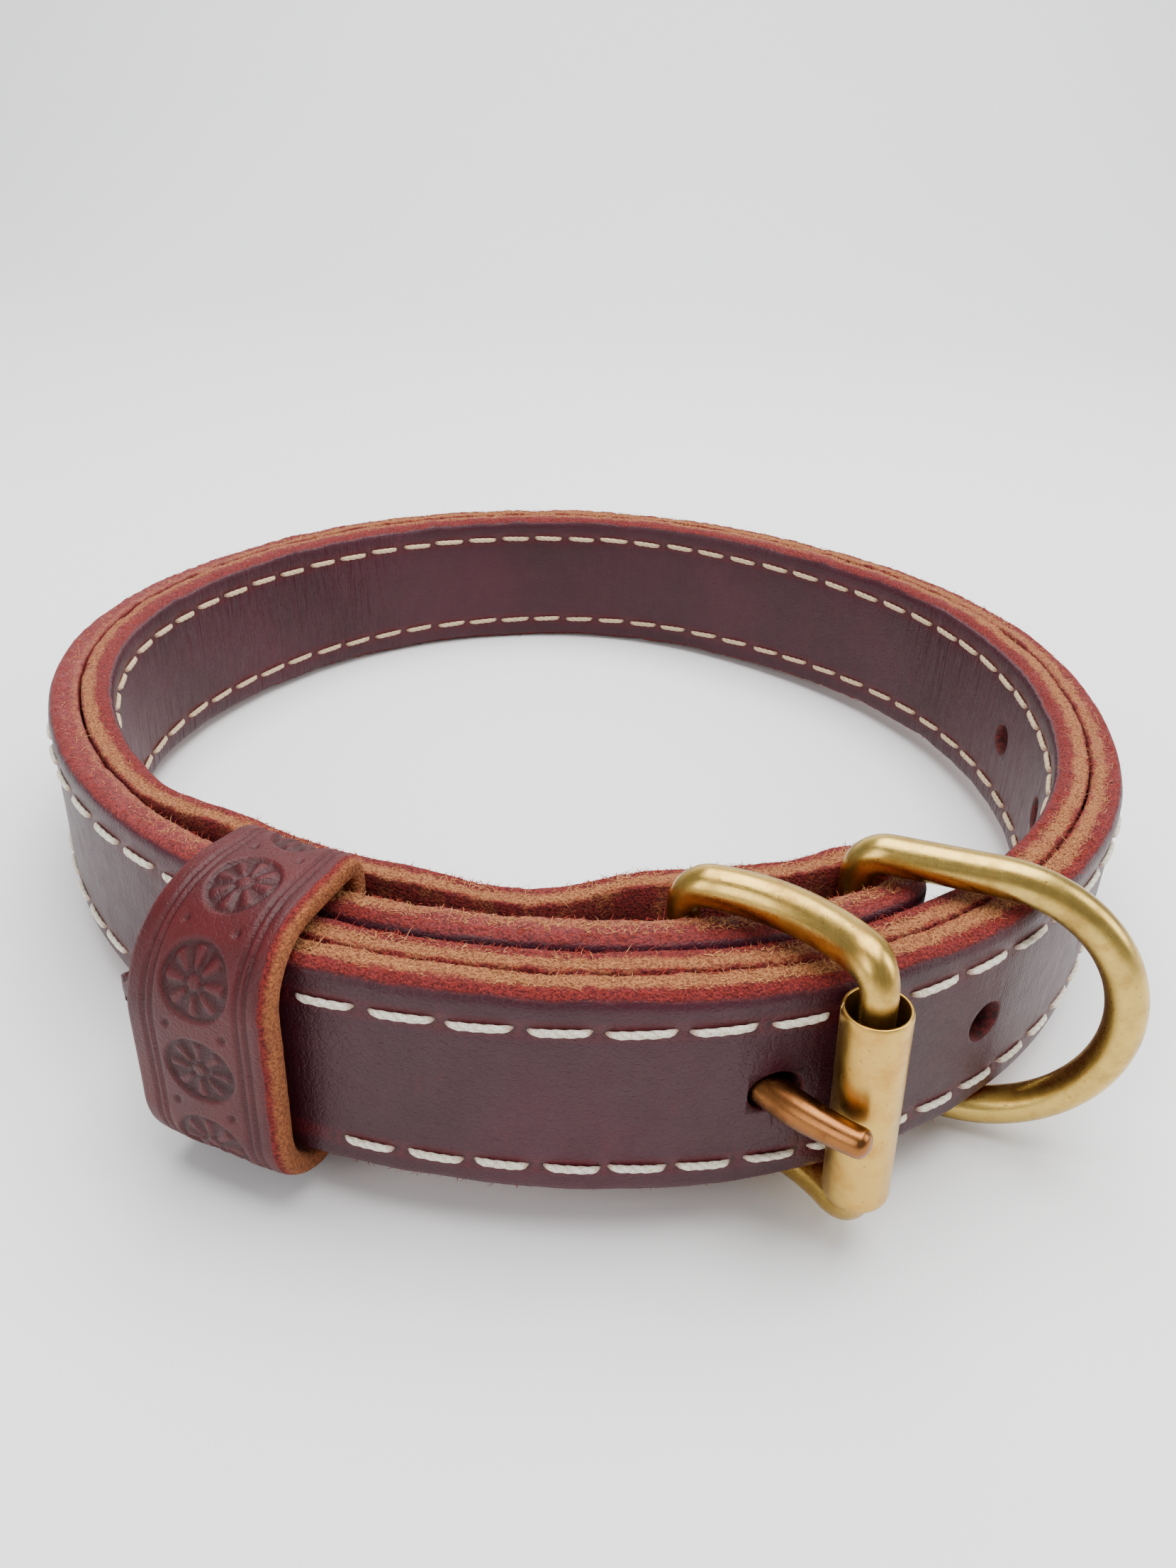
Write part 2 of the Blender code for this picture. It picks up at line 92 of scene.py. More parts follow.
# Rows of stitches, measured from the strap's mid-height
ROW_HEIGHT = 0.0088
OUTER_PITCH = {-1: 0.0066, 1: 0.0074}
INNER_PITCH = {-1: 0.0074, 1: 0.0074}
STITCH_SHARE = 0.82
THREAD = 0.00088
LOWEST = 0.00002

# The turn and shift that lay the collar on the floor
REST_TURN = np.array([
    [0.999945, 0.000193, -0.010509, 0.000207],
    [0.000193, 0.999328, 0.036646, 0.001559],
    [0.010509, -0.036646, 0.999273, 0.003063]])

# Frames of the buckle and the D-ring before that turn: X along, Y across, Z up the bar
BUCKLE_AXES = np.array([
    [0.764487, 0.642001, -0.058261, 0.013790],
    [-0.643550, 0.765324, -0.011087, -0.064997],
    [0.037470, 0.045970, 0.998240, 0.012457]])
D_AXES = np.array([
    [0.951004, 0.309017, -0.009959, 0.032830], [-0.309000, 0.951056, 0.003236, -0.057325],
    [0.010472, 0.0, 0.999945, 0.012800]])
BUCKLE_CHORD = 0.022882
BUCKLE_HEADING = 40.0415


# ---- helpers for shapes


def rest(points):
    """Points of the upright collar, laid on the floor: turned, then shifted."""
    return points @ REST_TURN[:, :3].T + REST_TURN[:, 3]


def carried(axes, points):
    """Points given in a piece's own frame, moved to that frame's place."""
    return points @ axes[:, :3].T + axes[:, 3]


def smooth(t):
    """Smooth step from 0 to 1: three t squared less two t cubed."""
    t = np.clip(t, 0.0, 1.0)
    return t * t * (3 - 2 * t)


def lumps(u, v, seed, cuts=64):
    """Smooth noise between -1 and 1, read from a seeded lattice with cell size 1.

    The four lattice values round a point are mixed by smooth steps.
    """
    table = np.random.default_rng(seed).uniform(-1, 1, (cuts, cuts))
    iu, iv = np.floor(u).astype(int), np.floor(v).astype(int)
    fu, fv = smooth(u - iu), smooth(v - iv)
    a, b = table[iu % cuts, iv % cuts], table[(iu + 1) % cuts, iv % cuts]
    c, d = table[iu % cuts, (iv + 1) % cuts], table[(iu + 1) % cuts, (iv + 1) % cuts]
    return (a * (1 - fu) + b * fu) * (1 - fv) + (c * (1 - fu) + d * fu) * fv


def make_piece(name, points, faces, materials, values=None):
    """Mesh object at the origin from vertex rows, face rows and named vertex values."""
    mesh = bpy.data.meshes.new(name)
    mesh.from_pydata(np.asarray(points, float).reshape(-1, 3).tolist(), [],
                     [list(map(int, f)) for f in faces])
    for key, array in (values or {}).items():
        layer = mesh.attributes.new(key, "FLOAT", "POINT")
        layer.data.foreach_set("value", np.asarray(array, np.float32).ravel())
    for made in materials:
        mesh.materials.append(made)
    mesh.shade_smooth()
    mesh.update()
    piece = bpy.data.objects.new(name, mesh)
    bpy.context.scene.collection.objects.link(piece)
    return piece


def ring_faces(rows, ring, closed=False, caps=True, first=0):
    """Quads between neighbouring rings of points, with an n-gon at each open end."""
    r = np.arange(rows if closed else rows - 1)[:, None]
    j = np.arange(ring)[None, :]
    a, b = r * ring + j, r * ring + (j + 1) % ring
    c, d = ((r + 1) % rows) * ring + (j + 1) % ring, ((r + 1) % rows) * ring + j
    quads = (np.stack([a, b, c, d], -1).reshape(-1, 4) + first).tolist()
    if caps and not closed:
        quads.append((np.arange(ring)[::-1] + first).tolist())
        quads.append((np.arange(ring) + (rows - 1) * ring + first).tolist())
    return quads


# ---- the strap's route


def route_radius(angle):
    """Catmull-Rom curve through the shares, one stack further in after one turn."""
    start = TIP_ANGLE
    lap = (angle > start + TURN)
    angle = np.where(lap, angle - TURN, angle)
    shares = ROUTE_SHARES * LOOP_RADIUS
    spaced = np.concatenate([shares[:1], shares, shares[:2] - STACK_STEP])
    place = np.maximum(angle - start, 0.0) / ROUTE_STEP
    index = np.minimum(place.astype(int), len(ROUTE_SHARES) - 1)
    t = place - index
    a, b, c, d = (spaced[index + k] for k in range(4))
    radius = b + 0.5 * t * (c - a + t * (2 * a - 5 * b + 4 * c - d
                                         + t * (3 * (b - c) + d - a)))
    return radius - np.where(lap, STACK_STEP, 0.0)


def route_point(angle):
    """Point of the mid-line in plan: radius times (sine, minus cosine) of the angle."""
    radius, turn = route_radius(angle), np.radians(angle)
    return np.stack([radius * np.sin(turn), -radius * np.cos(turn)], -1)


def route_tangent(angle):
    """Unit difference of two points a twentieth of a degree to each side."""
    step = route_point(angle + 0.05) - route_point(angle - 0.05)
    return step / np.linalg.norm(step, axis=-1, keepdims=True)


def outward(angle):
    """The tangent turned a quarter to the right, which faces away from the neck."""
    t = route_tangent(angle)
    return np.stack([t[..., 1], -t[..., 0]], -1)


def pocket(angle):
    """Smooth steps between the pocket rows, one turn back."""
    front = angle - TURN
    value = np.full_like(angle, POCKET_ROWS[0][1])
    for (a, low), (b, high) in zip(POCKET_ROWS, POCKET_ROWS[1:]):
        value = np.where(front > a, low + (high - low) * smooth((front - a) / (b - a)), value)
    return value


fine_angles = np.arange(TIP_ANGLE, FOLD_ANGLE + 0.05, 0.05)
fine_angles[-1] = FOLD_ANGLE
fine_steps = np.linalg.norm(np.diff(route_point(fine_angles), axis=0), axis=1)
fine_lengths = np.concatenate([[0.0], np.cumsum(fine_steps)])


def angle_at(length):
    """Plan angle at a length along the mid-line, measured from the tip."""
    return np.interp(length, fine_lengths, fine_angles)


def length_at(angle):
    return float(np.interp(angle, fine_angles, fine_lengths))


def tip_half_height(distance):
    share = np.clip((distance + TIP_END) / TIP_LENGTH, 0.0, 1.0)
    return MID_HEIGHT * share ** TIP_POWER


STRIP_LENGTH = fine_lengths[-1]
HOLE_PLACES = [HOLE_FIRST + k * HOLE_PITCH for k in range(HOLE_COUNT)]


def ply_line(side, spacing):
    """Centre line of one ply with its outward normals, lengths and half heights.

    side 1 is the outer ply and side -1 the inner one. The outer ply's line carries
    on round the fold, a half circle, and ends where the inner ply begins.
    """
    count = int(round(STRIP_LENGTH / spacing))
    along = np.linspace(0.0, STRIP_LENGTH, count + 1)
    near_tip = np.linspace(0.0, 0.006, 14)
    along = np.concatenate([near_tip, along[along > 0.0064]])
    angle = angle_at(along)
    out = HALF_STEP if side > 0 else -HALF_STEP - pocket(angle)
    normal = outward(angle)
    line = route_point(angle) + normal * np.reshape(out, (-1, 1))
    half = tip_half_height(along)
    if side < 0:
        return line, -normal, along, half
    fold = np.array([FOLD_ANGLE])
    bend = HALF_STEP + pocket(fold)[0] / 2
    centre = route_point(fold)[0] + outward(fold)[0] * (HALF_STEP - bend)
    turn = np.linspace(0, math.pi, 30)[1:, None]
    reach = outward(fold) * np.cos(turn) + route_tangent(fold) * np.sin(turn)
    line = np.concatenate([line, centre + reach * bend])
    normal = np.concatenate([normal, reach])
    along = np.concatenate([along, along[-1] + turn[:, 0] * bend])
    half = np.concatenate([half, np.full(len(turn), MID_HEIGHT)])
    return line, normal, along, half


# ---- the strap's section and its two plies

# Heights where the strap's face has points, close together at the stitch rows
FACE_HEIGHTS = np.array([0.0, 2.6, 5.0, 6.6, 7.6, 8.2, 8.8, 9.4, 9.9, 10.4, 10.9]) / 1000
GRAIN_CORNER = 0.0016
FLESH_CORNER = 0.0004
EDGE_CUTS = 9


def ply_section():
    """Outline of a ply, as rows of (out, share of the half height, corner, lift).

    A point's height is share times (half height less corner), plus lift. The outline
    is a rectangle with round corners, larger on the grain side.
    """
    rows = []
    share = FACE_HEIGHTS / MID_HEIGHT
    for place in np.concatenate([-share[:0:-1], share]):
        rows.append((0.5 * PLY, place, 0.0, 0.0))
    edge = []
    for turn in np.radians(np.linspace(8, 90, 5)):
        out = 0.5 * PLY - GRAIN_CORNER * (1 - math.cos(turn))
        edge.append((out, 1.0, GRAIN_CORNER, GRAIN_CORNER * math.sin(turn)))
    span = PLY - GRAIN_CORNER - FLESH_CORNER
    for place in np.linspace(0, 1, EDGE_CUTS)[1:-1]:
        edge.append((0.5 * PLY - GRAIN_CORNER - span * place, 1.0, 0.0, 0.0))
    for turn in np.radians([90, 135, 172]):
        out = -0.5 * PLY + FLESH_CORNER * (1 + math.cos(turn))
        edge.append((out, 1.0, FLESH_CORNER, FLESH_CORNER * math.sin(turn)))
    flesh = [(-0.5 * PLY, place, 0.0, 0.0) for place in (0.75, 0.4, 0.0, -0.4, -0.75)]
    lower = [(out, -place, corner, -lift) for out, place, corner, lift in reversed(edge)]
    return np.array(rows + edge + flesh + lower)


def build_ply(name, side, materials, spacing):
    """Sweep of the ply's section along its line, with lumps on the raw edges.

    Each point is the line's point, plus the normal times the thickness place, plus
    the height. The raw edge stands out or in by noise, and each stitch row lies in
    a soft groove with a pit where the thread goes in.
    """
    line, normal, along, half = ply_line(side, spacing)
    out, share, corner, lift = ply_section().T
    u = along[:, None]
    up = share * (half[:, None] - corner) + lift
    sign = np.sign(share)
    edge = np.abs(share) > 0.999
    depth = (0.5 * PLY - out) / PLY
    seed = 11 if side > 0 else 23
    raw = smooth(depth * 3.0)
    coarse = lumps(u / 0.0046, sign * 3.1 + depth * 0.9, seed)
    medium = lumps(u / 0.0013, sign * 5.7 + depth * 3.0, seed + 1)
    small = lumps(u / 0.0006, sign * 9.3 + depth * 7.0, seed + 2)
    push = 0.00018 * coarse + (0.00016 * medium + 0.00009 * small) * raw
    up = up + sign * edge * (push - 0.0001)
    pitch = OUTER_PITCH if side > 0 else INNER_PITCH
    off = np.abs(up) - half[:, None] * (ROW_HEIGHT / MID_HEIGHT)
    phase = np.mod(u / np.where(up > 0, pitch[1], pitch[-1]), 1.0)
    pit = sum(np.exp(-((phase - 0.5 - s * STITCH_SHARE / 2) / 0.06) ** 2) for s in (-1, 1))
    grain = depth < 0.01
    groove = 0.00008 * np.exp(-(off / 0.0009) ** 2) + 0.00018 * pit * np.exp(-(off / 0.0006) ** 2)
    swell = 0.00006 * lumps(u / 0.013, up / 0.007, seed + 4)
    lean = out + grain * (swell - groove)
    points = np.empty(lean.shape + (3,))
    points[..., :2] = line[:, None, :] + normal[:, None, :] * lean[..., None]
    points[..., 2] = MID_HEIGHT + up
    angle = angle_at(along)
    if side > 0:
        burnish = smooth((angle - 205) / 50) * smooth((345 - angle) / 12) + 0.30 * smooth(
            (angle - 45) / 20) * smooth((150 - angle) / 40)
        burnish = burnish + 0.75 * smooth((angle - 340) / 12)
        creases = 0.1 + 0.0 * angle
    else:
        burnish = 0.15 + 0.35 * smooth((angle - 100) / 40) * smooth((300 - angle) / 40)
        creases = 0.15 + smooth((angle - 45) / 15) * smooth((125 - angle) / 15) + smooth(
            (angle - 205) / 20) * smooth((320 - angle) / 20)
    shape = lean.shape
    values = {
        "along": np.broadcast_to(u, shape),
        "up": up,
        "depth": np.broadcast_to(depth, shape),
        "row": off,
        # pit also masks the painted shade of the stitch pits in the leather's colour
        "pit": pit * np.exp(-(off / 0.0007) ** 2),
        "burnish": np.broadcast_to(burnish[:, None], shape),
        "creases": np.broadcast_to(creases[:, None], shape)}
    faces = ring_faces(len(along), len(out))
    points = rest(points.reshape(-1, 3))
    points[:, 2] = np.maximum(points[:, 2], LOWEST)
    return mend_normals(make_piece(name, points, faces, materials, values))


def strap_place(angle, out, height):
    """Point beside the strap's mid-line, out metres outwards of it."""
    angle = np.atleast_1d(np.asarray(angle, float))
    flat = route_point(angle) + outward(angle) * np.reshape(out, (-1, 1))
    tall = np.broadcast_to(np.reshape(height, (-1, 1)), (len(flat), 1))
    return np.concatenate([flat, tall], 1)


# ---- holes

HOLE_FLARE = np.array([
    (-5.4, 1.5), (-4.35, 0.5), (-4.0, 0.15), (-3.5, 0.0),
    (3.5, 0.0), (4.0, 0.15), (4.35, 0.5), (5.4, 1.5)]) / 1000
HOLE_SIDES = 32


def hole_shell(length, stretch):
    """Turned cutter through both plies, a little wider at each face.

    Radius is the hole's radius plus the flare, longer by stretch along the strap.
    """
    angle = angle_at(length)
    turn = np.linspace(0, 2 * math.pi, HOLE_SIDES, endpoint=False)[None, :]
    radius = (HOLE_DIAMETER / 2 + HOLE_FLARE[:, 1])[:, None]
    side = (radius + stretch) * np.cos(turn)
    tall = radius * np.sin(turn)
    tangent = route_tangent(np.array([angle]))[0]
    normal = outward(np.array([angle]))[0]
    centre = route_point(np.array([angle]))[0]
    points = np.empty(side.shape + (3,))
    points[..., :2] = (centre + normal * HOLE_FLARE[:, :1, None].reshape(-1, 1, 1)
                       + tangent * side[..., None])
    points[..., 2] = MID_HEIGHT + tall
    return points.reshape(-1, 3), ring_faces(len(HOLE_FLARE), HOLE_SIDES)


def slot_shell():
    """Oblong cutter through the middle layer only, where the prong leaves its bar."""
    angle = np.array([HEEL_ANGLE])
    tangent, normal = route_tangent(angle)[0], outward(angle)[0]
    centre = route_point(angle)[0] + tangent * 0.0018
    turn = np.linspace(0, 2 * math.pi, 40, endpoint=False)
    side = 0.0028 * np.cos(turn) + 0.0032 * np.sign(np.cos(turn))
    tall = 0.0028 * np.sin(turn)
    rows = []
    for out in (-0.00445, -0.00895):
        flat = centre + normal * out + tangent * side[:, None]
        rows.append(np.concatenate([flat, MID_HEIGHT + tall[:, None]], 1))
    return np.concatenate(rows), ring_faces(2, len(turn))


def tube(points, tangents, across, radii, sides, squash=1.0):
    """Rings round a path: point plus radius times (cosine across, sine beside).

    The second direction is the tangent crossed with the first.
    """
    beside = np.cross(tangents, across)
    turn = np.linspace(0, 2 * math.pi, sides, endpoint=False)
    ring = (across[:, None, :] * np.cos(turn)[None, :, None]
            + beside[:, None, :] * np.sin(turn)[None, :, None] * squash)
    return points[:, None, :] + ring * radii[:, None, None]


def tangents_of(points, closed):
    """Unit difference of each point's two neighbours."""
    if closed:
        step = np.roll(points, -1, 0) - np.roll(points, 1, 0)
    else:
        step = np.gradient(points, axis=0)
    return step / np.linalg.norm(step, axis=1, keepdims=True)


def pack_shells(shells):
    """Several (points, faces) joined into one list of each."""
    points, faces, first = [], [], 0
    for p, f in shells:
        points.append(p)
        faces += [[i + first for i in face] for face in f]
        first += len(p)
    return np.concatenate(points), faces


def cut_holes(piece, groups, wall):
    """Subtracts each group of cutters in turn, and keeps the result as the mesh."""
    for shells in groups:
        points, faces = pack_shells(shells)
        cutter = mend_normals(make_piece("cutter", rest(points), faces, [wall]))
        change = piece.modifiers.new("Holes", "BOOLEAN")
        change.operation = "DIFFERENCE"
        change.solver = "EXACT"
        change.material_mode = "TRANSFER"
        change.object = cutter
        graph = bpy.context.evaluated_depsgraph_get()
        mesh = bpy.data.meshes.new_from_object(piece.evaluated_get(graph))
        piece.modifiers.clear()
        piece.data = mesh
        bpy.data.objects.remove(cutter, do_unlink=True)
    return piece


def mend_normals(piece):
    """Faces turned to point outwards, by bmesh."""
    shape = bmesh.new()
    shape.from_mesh(piece.data)
    bmesh.ops.recalc_face_normals(shape, faces=shape.faces)
    shape.to_mesh(piece.data)
    shape.free()
    piece.data.update()
    return piece


# ---- loose fibres on the raw edges


def build_fibres(name, side, count, material):
    """Short bent slivers that stand out of the raw edge.

    A sliver is a triangle at its root, a smaller one half-way, and a point. Its
    root lies at a random length and depth of the ply; it leans along the strap and
    away from the edge, and bends down by the square of the distance from the root.
    """
    chance = np.random.default_rng(71 if side > 0 else 72)
    line, normal, along, half = ply_line(side, 0.0006)
    tangent = np.gradient(line, axis=0)
    tangent = tangent / np.linalg.norm(tangent, axis=1, keepdims=True)
    angle = angle_at(along)
    rough = 1.0 - 0.75 * smooth((angle - 200) / 50) * smooth((330 - angle) / 20)
    rough = rough * (0.45 + 0.55 * (1 - smooth((angle - 40) / 40) * smooth((320 - angle) / 40)))
    rough = rough * smooth((along - 0.001) / 0.01)
    pick = chance.choice(len(line), count, p=rough / rough.sum())
    depth = chance.uniform(0.14, 0.98, count)
    top = np.where(chance.uniform(size=count) < 0.72, 1.0, -1.0)
    root = np.empty((count, 3))
    root[:, :2] = line[pick] + normal[pick] * ((0.5 - depth) * PLY)[:, None]
    inset = 0.00012 + 0.0010 * np.maximum(0.30 - depth, 0) / 0.30
    root[:, 2] = MID_HEIGHT + top * (half[pick] - inset)
    lean = chance.normal(0, 1.0, count)
    reach = np.empty((count, 3))
    aside = chance.normal(0, 0.55, count)
    reach[:, :2] = tangent[pick] * lean[:, None] + normal[pick] * aside[:, None]
    reach[:, 2] = top * chance.uniform(0.25, 0.9, count)
    reach /= np.linalg.norm(reach, axis=1, keepdims=True)
    length = chance.uniform(0.00030, 0.00095, count)
    long_one = chance.uniform(size=count) < 0.03
    length = np.where(long_one, length * 2.2, length)
    width = chance.uniform(0.000024, 0.000050, count)
    bend = np.zeros((count, 3))
    bend[:, 2] = -top * 0.30
    bend[:, :2] = chance.normal(0, 0.28, (count, 2))
    side_a = np.cross(reach, [0.0, 0.0, 1.0])
    side_a /= np.maximum(np.linalg.norm(side_a, axis=1, keepdims=True), 1e-6)
    side_b = np.cross(reach, side_a)
    turn = np.radians([0, 120, 240])
    points = np.empty((count, 7, 3))
    for level, (far, size) in enumerate(((0.0, 1.0), (0.55, 0.75))):
        middle = root + (reach * far + bend * far * far) * length[:, None]
        for k, t in enumerate(turn):
            points[:, level * 3 + k] = middle + (side_a * math.cos(t) + side_b * math.sin(t)) * (
                width * size)[:, None]
    points[:, 6] = root + (reach + bend) * length[:, None]
    base = np.arange(count)[:, None] * 7
    quads = np.array([(0, 1, 4, 3), (1, 2, 5, 4), (2, 0, 3, 5)])
    tips = np.array([(3, 4, 6), (4, 5, 6), (5, 3, 6)])
    faces = (base[:, :, None] + quads[None]).reshape(-1, 4).tolist()
    faces += (base[:, :, None] + tips[None]).reshape(-1, 3).tolist()
    tone = smooth((depth - 0.30) / 0.20) * smooth((0.95 - depth) / 0.10)
    tone = np.clip(tone + chance.normal(0, 0.15, count), 0, 1)
    points = rest(points.reshape(-1, 3))
    points[:, 2] = np.maximum(points[:, 2], LOWEST)
    return make_piece(name, points, faces, [material], {"tone": np.repeat(tone, 7)})


# ---- stitches

STITCH_ROWS = 15
STITCH_SIDES = 8


def build_stitches(name, side, first, last, material):
    """Two rows of short bowed threads.

    Along a stitch x runs from -1 to 1. Its middle stands out by lift times
    (1 - x^4) and its ends dip into the pits; its radius falls to a third at the ends,
    and two turned strands swell it by a cosine of twice (ring angle less twist).
    """
    pitches = OUTER_PITCH if side > 0 else INNER_PITCH
    x = np.linspace(-1, 1, STITCH_ROWS)
    turn = np.linspace(0, 2 * math.pi, STITCH_SIDES, endpoint=False)
    points, faces, mark, lay, first_point = [], [], [], [], 0
    noise = np.random.default_rng(5 if side > 0 else 6)
    for row, pitch in pitches.items():
        for k in range(int(first / pitch) + 1, int(last / pitch)):
            middle = (k + 0.5) * pitch + noise.normal(0, 0.00012)
            reach = pitch * STITCH_SHARE / 2 * (1 + noise.normal(0, 0.03))
            along = middle + x * reach
            angle = angle_at(along)
            lift = 0.00022 * (1 - x ** 4) - 0.00030 * x ** 8
            drift = noise.normal(0, 0.00006) + 0.00010 * x * row
            if side > 0:
                out = HALF_STEP + PLY / 2 + lift
            else:
                out = -HALF_STEP - pocket(angle) - PLY / 2 - lift
            half = tip_half_height(along) / MID_HEIGHT
            centre = strap_place(angle, out, MID_HEIGHT + row * half * ROW_HEIGHT + drift)
            tangent = tangents_of(centre, False)
            across = np.broadcast_to([0.0, 0.0, 1.0], tangent.shape)
            radius = THREAD / 2 * (1 - 0.62 * np.abs(x) ** 7)
            ring = tube(centre, tangent, across, radius, STITCH_SIDES, 0.75)
            twist = np.cos(2 * (turn[None, :] - 7.0 * x[:, None]))
            ring = centre[:, None, :] + (ring - centre[:, None, :]) * (1 + 0.10 * twist)[..., None]
            points.append(ring.reshape(-1, 3))
            faces += ring_faces(STITCH_ROWS, STITCH_SIDES, first=first_point)
            mark.append(np.broadcast_to(np.abs(x)[:, None], (STITCH_ROWS, STITCH_SIDES)).ravel())
            lay.append(twist.ravel())
            first_point += STITCH_ROWS * STITCH_SIDES
    piece = make_piece(name, rest(np.concatenate(points)), faces, [material],
                       {"end": np.concatenate(mark), "lay": np.concatenate(lay)})
    return mend_normals(piece)


# ---- keeper

KEEPER_FRONT = (2 * PLY + PLY_GAP) / 2 + 0.0022 + KEEPER_THICKNESS / 2
KEEPER_BACK = -(LAYER_FACE + SEAT_GAP + KEEPER_THICKNESS / 2)
KEEPER_LOW = -0.0015 - KEEPER_THICKNESS / 2
KEEPER_TOP = STRAP_WIDTH + 0.0015 + KEEPER_THICKNESS / 2
KEEPER_FRONT_CORNER = 0.0079
KEEPER_FAR_CORNER = 0.0122
KEEPER_BACK_CORNER = 0.0024
KEEPER_ROUNDS = 300


def keeper_outline(corner):
    """Round-cornered outline of the keeper's middle, as points at even steps."""
    corners = [
        (KEEPER_BACK, KEEPER_LOW, KEEPER_BACK_CORNER, 180),
        (KEEPER_FRONT, KEEPER_LOW, KEEPER_FRONT_CORNER, 270),
        (KEEPER_FRONT, KEEPER_TOP, corner, 0),
        (KEEPER_BACK, KEEPER_TOP, KEEPER_BACK_CORNER, 90)]
    rows = []
    for x, y, radius, start in corners:
        turn = np.radians(np.linspace(start, start + 90, 24))
        cx = x + radius if x < 0 else x - radius
        cy = y + radius if y < 0.01 else y - radius
        rows.append(np.stack([cx + radius * np.cos(turn), cy + radius * np.sin(turn)], 1))
    path = np.concatenate(rows + [rows[0][:1]])
    length = np.concatenate([[0], np.cumsum(np.linalg.norm(np.diff(path, axis=0), axis=1))])
    even = np.linspace(0, length[-1], KEEPER_ROUNDS, endpoint=False)
    return np.stack([np.interp(even, length, path[:, k]) for k in (0, 1)], 1), length[-1]


def keeper_tooling(round_at, width_at):
    """Depth of the tooling, in metres below the surface.

    Two grooves follow each edge, with a row of small round stamps between the inner
    pair. Between them a row of round flowers is pressed in: the depth of a flower is
    a disc's, less its petals, which stand up as a cosine of eight times the angle.
    """
    edge = KEEPER_WIDTH / 2 - np.abs(width_at)
    grooves = sum(np.exp(-((edge - at) / 0.00022) ** 2) for at in (0.0024, 0.0033))
    depth = 0.00028 * grooves
    pitch = 0.0102
    cell = np.mod(round_at, pitch) - pitch / 2
    radius = np.hypot(cell, width_at)
    angle = np.arctan2(width_at, cell)
    disc = smooth((0.0040 - radius) / 0.0004)
    petals = (0.5 + 0.5 * np.cos(8 * angle)) * smooth((radius - 0.0009) / 0.0005)
    petals = petals * smooth((0.0037 - radius) / 0.0006)
    centre = smooth((0.0009 - radius) / 0.0003)
    depth = depth + disc * (0.00044 - 0.00036 * petals - 0.00030 * centre)
    between = np.hypot(np.mod(round_at, pitch) - np.where(cell > 0, pitch, 0.0),
                       np.abs(width_at) - 0.0031)
    return depth + 0.00026 * smooth((0.00055 - between) / 0.0003)


def build_keeper(materials):
    """Sweep of a wall section round the keeper's outline.

    A point is the outline's point moved along its normal by the wall place, and
    along the strap by the width place. The corner at the far top is rounder, mixed
    by the width share. The near and far rims are rounded by a quarter circle.
    """
    near, length = keeper_outline(KEEPER_FRONT_CORNER)
    far = keeper_outline(KEEPER_FAR_CORNER)[0]
    half, wall, rim, slant = KEEPER_WIDTH / 2, KEEPER_THICKNESS / 2, 0.0007, 0.0020
    bevel = 0.0011
    flat = np.linspace(-half + rim, half - slant, 61)
    turn = np.radians(np.linspace(0, 90, 6))[1:-1]
    side = np.linspace(0.5, -1, 6)[1:-1]
    rows = [(w, wall) for w in flat]
    rows += [(half - slant + slant * math.sin(t), wall - bevel + bevel * math.cos(t)) for t in turn]
    rows += [(half, s * (wall - rim)) for s in side]
    rows += [(half - rim + rim * math.cos(t), -wall + rim - rim * math.sin(t)) for t in turn]
    rows += [(w, -wall) for w in np.linspace(half - rim, -half + rim, 17)]
    rows += [(-half + rim - rim * math.sin(t), -wall + rim - rim * math.cos(t)) for t in turn]
    rows += [(-half, -s * (wall - rim)) for s in side[::-1] * -1]
    rows += [(-half + rim - rim * math.cos(t), wall - rim + rim * math.sin(t)) for t in turn]
    width, out = np.array(rows).T
    share = width / KEEPER_WIDTH + 0.5
    middle = near[:, None, :] * share[:, None] + far[:, None, :] * (1 - share)[:, None]
    step = np.roll(near, -1, 0) - np.roll(near, 1, 0)
    step = step / np.linalg.norm(step, axis=1, keepdims=True)
    normal = np.stack([step[:, 1], -step[:, 0]], 1)
    around = np.linspace(0, length, KEEPER_ROUNDS, endpoint=False)[:, None]
    outer = smooth((out - wall * 0.5) / (wall * 0.5))
    cut = keeper_tooling(around - 0.0063, width[None, :] + 0 * around)
    rough = lumps(around / 0.0012, width / 0.0012, 31) * 0.00005 * (1 - outer)
    uneven = lumps(around / 0.009, width / 0.006, 32) * 0.00012
    wall_at = out - outer * cut + rough + uneven
    place = middle + normal[:, None, :] * wall_at[..., None]
    angle = angle_at(length_at(KEEPER_ANGLE) + 0 * width + width)
    middle_angle = np.broadcast_to(angle, wall_at.shape).ravel()
    points = strap_place(middle_angle, place[..., 0].ravel(), place[..., 1].ravel())
    shape = wall_at.shape
    values = {
        "depth": np.broadcast_to((wall - out) / KEEPER_THICKNESS, shape),
        "tooled": outer * cut / 0.0004,
        "around": np.broadcast_to(around, shape),
        "width": np.broadcast_to(width, shape)}
    faces = ring_faces(KEEPER_ROUNDS, len(width), closed=True)
    piece = make_piece("keeper_band", rest(points), faces, materials, values)
    return mend_normals(piece)


# ---- buckle, roller, prong and D-ring

LEG = 0.0048
LEG_ARCH = 0.0029
BUCKLE_INSIDE = 0.0271
ELBOW = 0.0030
ROLLER_BAR = 0.0036
ROLLER_DIAMETER = 0.0069
ROLLER_WALL = 0.00045
ROLLER_LENGTH = 0.0240
ROLLER_RISE = 0.0009
PRONG = 0.0038
PRONG_TIP = 0.0031
PRONG_EYE_HEIGHT = 0.0036
PRONG_OVERHANG = 0.0018
PRONG_SEAT_ANGLE = 33.0
D_WIRE = 0.0045
D_WIDTH = 0.0313
D_LEG = 0.0146


